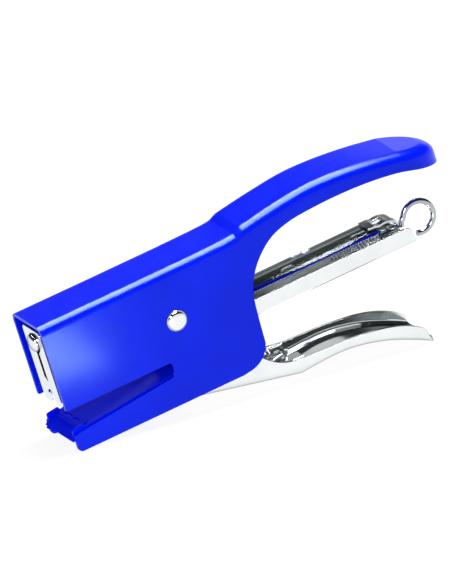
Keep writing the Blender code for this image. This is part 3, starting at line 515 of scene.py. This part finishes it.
def paint(name, dark, light, roughness, shine):
    """Baked enamel: a faint drift of colour, and the slight ripple of sprayed paint."""
    look, shader = shader_of(name, 0.0, roughness)
    shader.inputs["Specular IOR Level"].default_value = shine
    shader.inputs["Specular Tint"].default_value = ENAMEL_TINT
    drift = noise(look, 35.0, 2.0)
    look.node_tree.links.new(ramp(look, drift, ((0.35, dark), (0.65, light))), shader.inputs["Base Color"])
    gloss = spread(look, noise(look, 160.0, 4.0), roughness * 0.8, roughness * 1.25)
    look.node_tree.links.new(gloss, shader.inputs["Roughness"])
    bumpy(look, shader, noise(look, 700.0, 2.0), 0.00002, 0.15)
    return look


def metal(name, dark, light, rough_low, rough_high, stretch=(1.0, 1.0, 1.0), ripple=0.00001,
          metallic=1.0, tint=GLANCING_SHADE_TINT):
    """Plated or plain steel: faint stains, polishing marks in the gloss, and a fine ripple."""
    look, shader = shader_of(name, metallic, rough_low)
    shader.inputs["Specular Tint"].default_value = tint
    stain = noise(look, 60.0, 4.0)
    look.node_tree.links.new(ramp(look, stain, ((0.3, dark), (0.7, light))), shader.inputs["Base Color"])
    marks = noise(look, 420.0, 5.0, stretch)
    look.node_tree.links.new(spread(look, marks, rough_low, rough_high), shader.inputs["Roughness"])
    bumpy(look, shader, noise(look, 900.0, 3.0, stretch), ripple, 0.2)
    return look


BLUE = paint("blue_enamel", (0.0, 0.0075, 0.74), (0.0, 0.0105, 0.86), 0.2, 0.22)
# Painted shade: a darker copy of the blue enamel for the body's inner faces and cut sheet edges, which stand in
# shade.
BODY_INSIDE_PAINTED_SHADE = paint("body_inside_painted_shade", (0.0, 0.003, 0.32), (0.0, 0.005, 0.42), 0.3, 0.05)
# Painted light: the jaw's enamel is paler than the body's, to offset the shade that falls in the throat.
JAW_ENAMEL_PAINTED_LIGHT = paint("jaw_enamel_painted_light", (0.0, 0.006, 0.86), (0.0, 0.009, 0.96), 0.2, 0.06)
CHROME = metal("chrome_plate", (0.76, 0.79, 0.79), (0.84, 0.86, 0.86), 0.05, 0.13)
NOSE_CHROME = metal("nose_plate_chrome", (0.74, 0.77, 0.78), (0.82, 0.85, 0.86), 0.08, 0.16, tint=PALE_TINT)
# Painted light: a paler, matter copy of the chrome for the lower handle's inner faces, so that its hollow reads
# bright.
HANDLE_INSIDE_PAINTED_LIGHT = metal("handle_inside_painted_light", (0.86, 0.88, 0.88), (0.94, 0.95, 0.95), 0.28, 0.42,
                     metallic=0.35, tint=PALE_TINT)
WIRE = metal("plated_wire", (0.36, 0.39, 0.39), (0.50, 0.53, 0.53), 0.10, 0.22)
ZINC = metal("zinc_wire", (0.88, 0.90, 0.90), (0.96, 0.97, 0.97), 0.4, 0.55, metallic=0.5)
STEEL = metal("bright_steel", (0.50, 0.52, 0.53), (0.68, 0.70, 0.70), 0.12, 0.26, (1.0, 1.0, 5.0), 0.00002)
# Painted shade, in part: the rivet rings take this dark metal to draw the shade round each dome; the cover strip
# takes it too.
SHADE_RING_AND_COVER_METAL = metal("shade_ring_and_cover_metal", (0.26, 0.29, 0.28), (0.50, 0.54, 0.53), 0.08, 0.2,
                   (0.3, 1.0, 1.0), 0.00003)
# Painted shade: the driver blade, seen only through the nose plate's keyhole, is near black for the shade behind
# the plate.
BLADE_PAINTED_SHADE = metal("blade_painted_shade", (0.10, 0.11, 0.11), (0.2, 0.21, 0.21), 0.15, 0.3)
LOOKS = {"blue_paint": BLUE, "dark_blue_paint": JAW_ENAMEL_PAINTED_LIGHT, "chrome": CHROME, "spring_steel": STEEL,
         "dark_steel": SHADE_RING_AND_COVER_METAL}
NODE_LOOKS = {"driver_blade": BLADE_PAINTED_SHADE, "cover_rivet_2": ZINC}


def dress_frame():
    """Every CAD node that is still seen takes the finish of its slot."""
    for row in frame["record"]["subparts"]:
        node = frame["nodes"][row["node"]]
        node.data.materials.clear()
        look = NODE_LOOKS.get(row["node"]) or LOOKS[row["material_slot"]]
        node.data.materials.append(look)
        node.data.shade_smooth()
        node.data.set_sharp_from_angle(angle=radians(32))


# ---------------------------------------------------------------- body

def body_outline():
    """Side view of the folded body, open above so that only its lower edges cut."""
    throat = arc((THROAT_END - THROAT_CORNER, JAW_TOP_REAR + THROAT_CORNER), THROAT_CORNER, 0, -84, 10)
    nose = arc((BODY_FRONT + JAW_CORNER, JAW_BOTTOM + JAW_CORNER), JAW_CORNER, 180, 270, 10)
    outline = [(BODY_FRONT, BODY_SECTION_HIGH)]
    outline += arc((BODY_FRONT + 0.5, HEAD_BOTTOM + 0.5), 0.5, 180, 270, 4)
    outline += arc((THROAT_END - 1.0, HEAD_BOTTOM - 1.0), 1.0, 90, 0, 6) + throat
    outline += [(BODY_FRONT + 1.0, JAW_TOP_FRONT + JAW_SLOPE), (BODY_FRONT, JAW_TOP_FRONT - 1.0)] + nose
    outline += smooth(REAR_CORNER, 8) + smooth(REAR_EDGE, 10)
    return outline + [(REAR_EDGE[-1][0], BODY_SECTION_HIGH)]


def body_rows(step, bend_steps, tip_steps):
    """Cross sections of the body from front to tip; the tip is a fan of them about one point."""
    top_line = smooth(BODY_TOP, 24)
    tip_x, tip_z = BODY_TOP[-1]
    rows = []
    count = int((tip_x - HANDLE_BEND_FROM) / step) + 1
    for x in [*BODY_STATIONS, *(HANDLE_BEND_FROM + step * n for n in range(count))]:
        share = min(max((x - HANDLE_BEND_FROM) / (HANDLE_BEND_TO - HANDLE_BEND_FROM), 0.0), 1.0)
        bend = HEAD_BEND + (HANDLE_BEND - HEAD_BEND) * share
        bottom = BODY_SECTION_LOW if x < HANDLE_SECTION_FROM else HANDLE_SECTION_LOW
        rows.append([(x, y, z) for y, z in section(BODY_HALF_WIDTH, bend, height_on(top_line, x), bottom,
                                                   bend_steps)])
    for n in range(tip_steps + 1):
        turn = pi / 2 * n / tip_steps
        reach = TIP_LENGTH / BODY_HALF_WIDTH * sin(turn)
        row = []
        for y, z in section(BODY_HALF_WIDTH, HANDLE_BEND, tip_z, HANDLE_SECTION_LOW, bend_steps):
            fall = 0.0 if z == HANDLE_SECTION_LOW else TIP_FALL * y * reach
            row.append((tip_x + y * reach, y * cos(turn), z - fall))
        rows.append(row)
    return rows


def body_shell():
    shell = folded_sheet(body_rows(1.58, 10, 28), True, BODY_SHEET)
    sheet = shell.modifiers["sheet"]
    # The inner faces and the cut edges take the darker inner enamel: painted shade.
    sheet.material_offset = 1
    sheet.material_offset_rim = 1
    boolean(shell, outline_mesh(body_outline(), -REACH, REACH), "INTERSECT")
    soften(shell, 0.28)
    looks = (BLUE, BODY_INSIDE_PAINTED_SHADE)
    shown("folded_body", evaluated(shell), "body", looks, ["body_shell"], sharp=None)


def rivets():
    """The main rivet's two polished domes, and a dark ring round each: painted shade round the dome."""
    reach = BODY_HALF_WIDTH + 2 * CLOSE_GAP + RIVET_WASHER_THICKNESS
    dome = [(0.0, reach + RIVET_HEAD_HEIGHT)]
    for n in range(1, 15):
        turn = pi / 2 * n / 14
        dome.append((RIVET_HEAD_RADIUS * sin(turn), reach + RIVET_HEAD_HEIGHT * cos(turn) ** 0.9))
    profile = dome + [(RIVET_HEAD_RADIUS - 0.15, reach - 0.05), (PIVOT_RADIUS, reach - 0.05)]
    profile += [(radius, -height) for radius, height in profile[::-1]]
    shown("rivet", turned_mesh(profile, "Y", (0, 0), 96), "body", CHROME, ["main_rivet"])
    for side, word in ((-1, "left"), (1, "right")):
        inner = BODY_HALF_WIDTH + CLOSE_GAP
        outer = inner + RIVET_WASHER_THICKNESS
        edge = 0.1
        bore, rim = PIVOT_RADIUS + GAP, RIVET_WASHER_RADIUS
        ring = [(bore, outer), (rim - edge, outer), (rim, outer - edge), (rim, inner), (bore, inner)]
        mesh = turned_mesh([(radius, side * height) for radius, height in ring], "Y", (0, 0), 96)
        shown(f"ring_{word}", mesh, "body", SHADE_RING_AND_COVER_METAL, [f"rivet_washer_{word}"])


def lower_handle():
    bottom_line = [LEVER_BOTTOM] + smooth(LEVER_GRIP, 8)
    rows = []
    places = [*LEVER_STATIONS, 38.0, 39.5] + [x for x, _ in bottom_line[1:]]
    for x in places:
        top = LEVER_SECTION_HIGH if x < LEVER_STATIONS[-1] else LEVER_GRIP_SECTION_HIGH
        across = section(LEVER_HALF_WIDTH, LEVER_BEND, height_on(bottom_line, x), top, 10)
        rows.append([(x, y, z) for y, z in across])
    handle = folded_sheet(rows, False, LEVER_SHEET)
    # The inner faces take the paler chrome: painted light in the handle's hollow.
    handle.modifiers["sheet"].material_offset = 1
    side = [(LEVER_FRONT, LEVER_SECTION_LOW), (LEVER_FRONT, LEVER_FRONT_TOP)]
    side += arc((0, 0), LEVER_BOSS, 205, 40, 24)
    side += smooth(LEVER_EDGE, 8) + [(LEVER_EDGE[-1][0], LEVER_SECTION_LOW)]
    boolean(handle, outline_mesh(side, -REACH, REACH), "INTERSECT")
    corner, half = LEVER_END_CORNER, LEVER_HALF_WIDTH + 2.0
    plan = [(-REACH, -half), (LEVER_END - corner - 2.0, -half)]
    plan += arc((LEVER_END - corner, corner - LEVER_HALF_WIDTH), corner, -90, 0, 16)
    plan += [(x, -y) for x, y in plan[::-1]]
    boolean(handle, outline_mesh(plan, LEVER_SECTION_LOW, BODY_SECTION_HIGH, "Z"), "INTERSECT")
    boolean(handle, pin_mesh(PIVOT_RADIUS + GAP, -REACH, REACH, "Y", (0, 0)))
    soften(handle, 0.3)
    looks = (CHROME, HANDLE_INSIDE_PAINTED_LIGHT)
    shown("folded_handle", evaluated(handle), "lever", looks, ["lower_handle"], sharp=None)
    hook = strip(HOOK_PROFILE, HOOK_HALF_WIDTH, HOOK_SHEET)
    hole_x, hole_z = HOOK_HOLE
    boolean(hook, pin_mesh(HOOK_HOLE_RADIUS, hole_x - REACH / 2, hole_x + REACH / 2, "X", (0, hole_z)))
    soften(hook, 0.2, angle=50)
    shown("hook", evaluated(hook), "lever", STEEL, ["spring_hook"], sharp=None)


def magazine_channel():
    low, fold, wall = MAG_FLOOR, MAG_FOLD, MAG_OUTER
    half = arc((wall - fold, low + fold), fold, -90, 0, 8)
    half += [(wall, MAG_EAR + 1.0), (MAG_INNER, MAG_EAR + 1.0)]
    inner_fold = fold - MAG_FLOOR_THICKNESS
    half += arc((MAG_INNER - inner_fold, low + fold), inner_fold, 0, -90, 4)
    trough = half + [(-y, z) for y, z in half[::-1]]
    channel = held("channel", outline_mesh(trough, MAG_FRONT, MAG_REAR, "X"))
    side = [(MAG_FRONT - GAP, low - GAP), (MAG_REAR, low - GAP)]
    side += arc((MAG_REAR - MAG_REAR_CORNER, MAG_WALL_TOP - MAG_REAR_CORNER), MAG_REAR_CORNER, 0, 90, 14)
    step = COVER_BOTTOM - GAP
    side += [(EAR_FOOT_REAR, MAG_WALL_TOP), (COVER_STEP, step), (COVER_FRONT, step)]
    side += arc((0, 0), MAG_EAR, -25, 205, 24)
    side += [(EAR_FOOT_FRONT, MAG_WALL_TOP), (MAG_FRONT - GAP, MAG_WALL_TOP)]
    boolean(channel, outline_mesh(side, -REACH, REACH), "INTERSECT")
    boolean(channel, pin_mesh(PIVOT_RADIUS + GAP, -REACH, REACH, "Y", (0, 0)))
    soften(channel, 0.14)
    shown("channel", evaluated(channel), "magazine", CHROME, ["magazine_channel"], sharp=None)


def nose_plate():
    half, corner = MAG_OUTER, NOSE_CORNER
    plate = [(-half, MAG_FLOOR + 0.5), (0.5 - half, MAG_FLOOR), (-NOSE_NOTCH_HALF_WIDTH, MAG_FLOOR)]
    plate += arc((0, NOSE_NOTCH_TOP - NOSE_NOTCH_HALF_WIDTH), NOSE_NOTCH_HALF_WIDTH, 180, 0, 16)
    plate += [(NOSE_NOTCH_HALF_WIDTH, MAG_FLOOR), (half - 0.5, MAG_FLOOR), (half, MAG_FLOOR + 0.5)]
    plate += arc((half - corner, NOSE_TOP - corner), corner, 0, 90, 8)
    plate += arc((corner - half, NOSE_TOP - corner), corner, 90, 180, 8)
    neck = degrees(asin(NOSE_SLOT_HALF_WIDTH / NOSE_HOLE_RADIUS))
    keyhole = arc((0, NOSE_HOLE_HEIGHT), NOSE_HOLE_RADIUS, neck - 90, 270 - neck, 40)
    far_foot, near_foot = NOSE_SLOT_ENDS
    keyhole += [(-NOSE_SLOT_HALF_WIDTH, near_foot), (NOSE_SLOT_HALF_WIDTH, far_foot)]
    nose = held("nose", outline_mesh(plate, NOSE_FRONT, NOSE_BACK, "X", (keyhole,)))
    soften(nose, 0.18, 3, 30)
    shown("nose_plate", evaluated(nose), "magazine", NOSE_CHROME, ["magazine_nose"], sharp=None)
    radius, shank, face = STUD_RADIUS, STUD_SHANK, NOSE_FRONT - 0.15
    stud = [(0.0, NOSE_BACK + 0.1), (shank, NOSE_BACK + 0.1), (shank, face), (radius, face)]
    for n in range(13):
        turn = pi / 2 * n / 12
        stud.append((radius * cos(turn), face - 0.2 - (STUD_HEIGHT - 0.2) * sin(turn)))
    stud[-1] = (0.0, face - STUD_HEIGHT)
    shown("driver_stud", turned_mesh(stud, "X", (0.0, STUD_Z)), "driver", CHROME, [])


def rounded_slot(centre, half_length, radius, steps=12):
    """An oval along X, seen from above."""
    return (arc((centre[0] + half_length - radius, centre[1]), radius, -90, 90, steps)
            + arc((centre[0] - half_length + radius, centre[1]), radius, 90, 270, steps))


def cover():
    """The crowned strip over the channel: oval holes, a bead, a row of dimples and fine-toothed edges."""
    reach = degrees(asin((COVER_HALF_WIDTH + 0.5) / COVER_CURVE))
    centre = (0.0, COVER_CROWN - COVER_CURVE)
    bar = arc(centre, COVER_CURVE, 90 - reach, 90 + reach, 24)
    bar += arc(centre, COVER_CURVE - COVER_SHEET, 90 + reach, 90 - reach, 24)
    strip_over = held("cover", outline_mesh(bar, COVER_FRONT, COVER_REAR, "X"))
    half, corner = COVER_HALF_WIDTH, COVER_CORNER
    edge = arc((COVER_REAR - corner, half - corner), corner, 0, 90, 12)
    first, last, pitch, depth = COVER_TEETH
    for n in range(int((last - first) / pitch)):
        x = last - n * pitch
        edge += [(x, half), (x - 0.25 * pitch, half - depth)]
        edge += [(x - 0.6 * pitch, half - depth), (x - 0.85 * pitch, half)]
    edge += [(COVER_FRONT - 1.0, half)]
    plan = [(x, -y) for x, y in edge[::-1]] + edge
    holes = [rounded_slot(*hole) for hole in COVER_HOLES]
    boolean(strip_over, outline_mesh(plan, -REACH, REACH, "Z", holes), "INTERSECT")
    start, end, count, across = COVER_DIMPLES
    for n in range(count):
        x = start + (end - start) * n / (count - 1)
        boolean(strip_over, pin_mesh(COVER_DIMPLE_RADIUS, COVER_BOTTOM + GAP, REACH, "Z", (x, across), 16))
    soften(strip_over, 0.1, 2, 30)
    mesh = evaluated(strip_over)
    shown("cover_strip", mesh, "magazine", SHADE_RING_AND_COVER_METAL, ["magazine_cover"], sharp=None)
    (x, y), half_length, radius = COVER_BEAD
    foot, top = (COVER_CROWN + level for level in COVER_BEAD_LEVELS)
    bead = held("bead", outline_mesh(rounded_slot((x, y), half_length, radius), foot, top, "Z"))
    soften(bead, 0.45, 4, 50)
    shown("cover_bead", evaluated(bead), "magazine", ZINC, [], sharp=None)


def end_bracket():
    """The strap curled down over the cover's rear end, with a window in it."""
    base = COVER_CROWN + CLOSE_GAP + BRACKET_SHEET / 2
    (centre_x, centre_z), (half_length, height) = BRACKET_CENTRE, BRACKET_ARCH
    arch = [(x, base) for x in BRACKET_FOOT]
    arch += [(centre_x + half_length * x, centre_z + height * z)
             for x, z in arc((0, 0), 1, BRACKET_ARCH_FROM, 0, 24)]
    bracket = strip([*arch, BRACKET_END], BRACKET_HALF_WIDTH, BRACKET_SHEET)
    low, high, half = BRACKET_WINDOW
    boolean(bracket, box_mesh((low, -half, base - 2.0), (high, half, base + 2.0)))
    soften(bracket, 0.2, 3, 40)
    shown("bracket", evaluated(bracket), "magazine", STEEL, ["end_bracket"], sharp=None)


def follower():
    rod_at = (0, ROD_HEIGHT)
    point = 0.4
    rod = ((0.0, ROD_REAR), (ROD_RADIUS, ROD_REAR), (ROD_RADIUS, ROD_FRONT + point),
           (ROD_RADIUS - point, ROD_FRONT), (0.0, ROD_FRONT))
    shown("rod", turned_mesh(rod, "X", rod_at), "follower", CHROME, ["guide_rod"])
    bore, outer, edge = ROD_RADIUS + GAP, COLLAR_RADIUS, 0.3
    collar = ((bore, COLLAR_REAR), (outer - edge, COLLAR_REAR), (outer, COLLAR_REAR - edge),
              (outer, COLLAR_FRONT + edge), (outer - edge, COLLAR_FRONT), (bore, COLLAR_FRONT))
    shown("collar", turned_mesh(collar, "X", rod_at, 64), "follower", WIRE, ["rod_collar"])
    low, high, outer, edge = COLLAR_REAR + GAP, ROD_REAR - CLOSE_GAP, RING_WASHER_RADIUS, 0.2
    washer = ((bore, high), (outer - edge, high), (outer, high - edge),
              (outer, low + edge), (outer - edge, low), (bore, low))
    shown("washer", turned_mesh(washer, "X", rod_at, 48), "follower", STEEL, ["ring_washer"])
    stem = [(ROD_REAR + RING_WIRE + 0.1, ROD_HEIGHT - 0.2), (ROD_REAR + RING_WIRE + 0.5, ROD_HEIGHT + 1.2)]
    path = smooth(stem + arc(RING_CENTRE, RING_RADIUS, 156, -112, 20), 4)
    ring = wire_mesh([(x, 0.0, z) for x, z in path], RING_WIRE, 6)
    shown("ring", ring, "follower", WIRE, ["pull_ring"], sharp=60.0)


def pusher():
    """A smooth bright sleeve; the pusher spring goes on from it to the collar."""
    along, up = Vector((1.0, 0.0, 0.0)), Vector((0.0, 0.0, 1.0))
    bore, outer, edge = ROD_RADIUS + GAP, SLEEVE_RADIUS, 0.25
    tube = ((bore, SLEEVE_REAR), (outer - edge, SLEEVE_REAR), (outer, SLEEVE_REAR - edge),
            (outer, SLEEVE_FRONT + edge), (outer - edge, SLEEVE_FRONT), (bore, SLEEVE_FRONT))
    shown("sleeve", turned_mesh(tube, "X", (0, ROD_HEIGHT), 64), "pusher", ZINC, ["pusher_sleeve"])
    start = Vector((SLEEVE_REAR + PUSHER_SPRING_WIRE, 0.0, ROD_HEIGHT))
    length = COLLAR_FRONT - SLEEVE_REAR - 2 * PUSHER_SPRING_WIRE
    coil = helix(start, along, up, length, PUSHER_SPRING_TURNS, PUSHER_SPRING_RADIUS, 16)
    wire = wire_mesh(coil, PUSHER_SPRING_WIRE, 3)
    spring = shown("thrust_spring", wire, None, ZINC, ["pusher_spring"], 60.0)
    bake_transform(spring)


def return_spring():
    (x0, z0), (x1, z1) = SPRING_FRONT, SPRING_REAR
    slope = atan2(z1 - z0, x1 - x0)
    along, up = Vector((cos(slope), 0.0, sin(slope))), Vector((-sin(slope), 0.0, cos(slope)))
    hole = [(STRAP_HOLE_X, 0.0, STRAP_HEIGHT + 2.0), (STRAP_HOLE_X, 0.0, STRAP_HEIGHT - 1.2),
            (STRAP_HOLE_X + 1.2, 0.0, STRAP_HEIGHT - 2.2)]
    coil = helix(Vector((x0, 0.0, z0)), along, up, hypot(x1 - x0, z1 - z0), SPRING_TURNS, SPRING_RADIUS, 24)
    tail = [(HOOK_HOLE[0] - 1.6, 0.0, HOOK_HOLE[1]), (HOOK_HOLE[0] + 1.5, 0.0, HOOK_HOLE[1] + 0.2),
            (HOOK_HOLE[0] + 2.0, 0.0, HOOK_HOLE[1] + 2.0)]
    wire = wire_mesh([*hole, *coil, *tail], SPRING_WIRE, 4)
    spring = shown("coil", wire, None, STEEL, ["return_spring"], 60.0)
    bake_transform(spring)


def anvil():
    """The anvil plate: a rounded front lip with two lobes, side flanges, a forming bar with two grooves."""
    slope = JAW_SLOPE
    fold = Vector(ANVIL_FOLD)
    rear = fold + (ANVIL_REAR - ANVIL_FOLD[0]) * Vector((1.0, slope))
    lip = Vector(ANVIL_LIP)
    ahead, back = (lip - fold).normalized(), (rear - fold).normalized()
    rounded = []
    for t in (n / 6 for n in range(7)):
        rounded.append(tuple(fold + ANVIL_FOLD_ROUND * (ahead * (1 - t) ** 2 + back * t ** 2)))
    plate = strip([tuple(lip), *rounded, tuple(rear)][::-1], ANVIL_HALF_WIDTH, ANVIL_SHEET, 1.0)
    for side in (-1, 1):
        low, high = sorted((side * ANVIL_TONGUE_HALF_WIDTH, side * REACH))
        boolean(plate, box_mesh((ANVIL_NECK, low, JAW_BOTTOM), (REACH, high, HEAD_BOTTOM)))

    def top(x):
        return ANVIL_FOLD[1] + slope * (x - ANVIL_FOLD[0])

    front, back_end, height, thick = ANVIL_FLANGE
    flange = [(front, top(front) - 1.3), (front, top(front) + 0.2)]
    flange += arc((front + 1.1, top(front) + height - 1.1), 1.1, 180, 90, 6)
    flange += [(back_end, top(back_end) + height), (back_end + 0.8, top(back_end))]
    flange += [(back_end + 0.8, top(back_end) - 0.6)]
    for side in (-1, 1):
        low, high = sorted((side * (ANVIL_HALF_WIDTH - thick), side * (ANVIL_HALF_WIDTH - 0.02)))
        boolean(plate, outline_mesh(flange, low, high), "UNION")
    front, back_end, height = ANVIL_BAR
    bar = [(front, top(front) - 0.5), (front, top(front) + height), (back_end, top(back_end) + height),
           (back_end, top(back_end) - 0.5)]
    boolean(plate, outline_mesh(bar, -9.6, 9.6), "UNION")
    inner, outer = ANVIL_GROOVES
    middle = (front + back_end) / 2
    groove_at = top(middle) + height
    for side in (-1, 1):
        low, high = sorted((side * inner, side * outer))
        start, end = middle - ANVIL_GROOVE_HALF_LENGTH, middle + ANVIL_GROOVE_HALF_LENGTH
        boolean(plate, box_mesh((start, low, groove_at - 0.5), (end, high, groove_at + 2.0)))
    foot = lip - fold
    for across in ANVIL_LOBES:
        near, far = fold + foot * 0.8, fold + foot * 1.17
        inwards = Vector((0.35, -0.42))
        corners = [near + inwards, far + inwards, far + inwards * 2.2, near + inwards * 2.2]
        lobe = outline_mesh([tuple(corner) for corner in corners], across - 0.9, across + 0.9)
        boolean(plate, lobe, "UNION")
    soften(plate, 0.22, 3, 40)
    # The plate takes the paler jaw enamel: painted light against the shade in the throat.
    shown("anvil", evaluated(plate), "body", JAW_ENAMEL_PAINTED_LIGHT, ["anvil_plate"], sharp=None)


# ---------------------------------------------------------------- studio

HORIZON = (0.95, 0.97, 1.0)     # a pale sweep all round, up to a height, and a dark room above it
SKY = (0.03, 0.035, 0.035)
HORIZON_TOP = 0.08
DARK_FROM = 0.26
CAMERA_BACK = Vector((-0.3432, -0.8757, 0.3394)).normalized()
CAMERA_UP = Vector((0.2676, 0.2552, 0.9291))
CAMERA_DISTANCE = 11.8
CAMERA_LENS = 2000.0
CAMERA_FAR = 200.0
LOOK_AT = Vector((-0.00485, 0.0, 0.03853))


def add_camera():
    data = bpy.data.cameras.new("camera")
    data.lens = CAMERA_LENS
    data.sensor_width = 36.0
    data.clip_end = CAMERA_FAR
    camera = held("camera", data)
    right = CAMERA_UP.cross(CAMERA_BACK).normalized()
    up = CAMERA_BACK.cross(right)
    turn = Matrix((right, up, CAMERA_BACK)).transposed().to_4x4()
    camera.matrix_world = Matrix.Translation(LOOK_AT + CAMERA_BACK * CAMERA_DISTANCE) @ turn
    bpy.context.scene.camera = camera


def add_floor():
    """A pale table that glows a little."""
    mesh = bpy.data.meshes.new("floor")
    shape = bmesh.new()
    bmesh.ops.create_grid(shape, x_segments=8, y_segments=8, size=6.0)
    shape.to_mesh(mesh)
    shape.free()
    look, shader = shader_of("pale_table", 0.0, 0.9)
    shader.inputs["Base Color"].default_value = (0.12, 0.12, 0.12, 1.0)
    shader.inputs["Specular IOR Level"].default_value = 0.1
    shader.inputs["Emission Color"].default_value = (1.0, 1.0, 1.0, 1.0)
    shader.inputs["Emission Strength"].default_value = 0.9
    mesh.materials.append(look)
    floor = held("floor", mesh)


def add_light(name, place, aim, size, power, seen_in):
    """A soft rectangular light; it works on matt shading only, or is only seen in reflections as a card."""
    data = bpy.data.lights.new(name, "AREA")
    data.shape = "RECTANGLE"
    data.size, data.size_y = size
    data.energy = power
    light = held(name, data)
    light.visible_camera = False
    light.visible_diffuse = seen_in != "gloss"
    light.visible_glossy = seen_in != "matt"
    light.location = place
    light.rotation_euler = (Vector(aim) - Vector(place)).to_track_quat("-Z", "Y").to_euler()


def add_studio():
    world = bpy.data.worlds.new("studio")
    world.use_nodes = True
    tree = world.node_tree
    place = tree.nodes.new("ShaderNodeTexCoord")
    height = tree.nodes.new("ShaderNodeSeparateXYZ")
    tree.links.new(place.outputs["Generated"], height.inputs["Vector"])
    stops = ((0.0, HORIZON), (HORIZON_TOP, HORIZON), (DARK_FROM, SKY), (1.0, SKY))
    sky = ramp(world, height.outputs["Z"], stops)
    tree.links.new(sky, tree.nodes["Background"].inputs["Color"])
    bpy.context.scene.world = world
    bpy.context.scene.view_settings.view_transform = "Standard"
    add_light("overhead", (0.42, 0.03, 1.1), (0.3, 0.03, 0.0), (0.4, 0.9), 20.0, "matt")
    add_light("front_fill", (-0.22, -0.22, 0.12), (-0.05, 0.0, 0.02), (0.08, 0.08), 0.35, "matt")
    add_light("bend_card", (0.05, 0.2, 1.1), (0.05, 0.2, 0.0), (0.75, 1.3), 85.0, "gloss")
    add_light("low_front", (-0.062, -0.164, 0.003), (-0.062, -0.164, 1.0), (0.06, 0.16), 0.62, "gloss")
    add_light("camera_card", (-0.6, -0.85, 0.52), (0.0, 0.0, 0.03), (0.25, 0.35), 8.0, "gloss")
    add_light("back_card", (0.13, 0.3, 0.150), (0.04, 0.0, 0.02), (0.4, 0.045), 0.05, "gloss")


dress_frame()
body_shell()
rivets()
anvil()
lower_handle()
magazine_channel()
nose_plate()
cover()
end_bracket()
follower()
pusher()
return_spring()
add_floor()
add_studio()
add_camera()
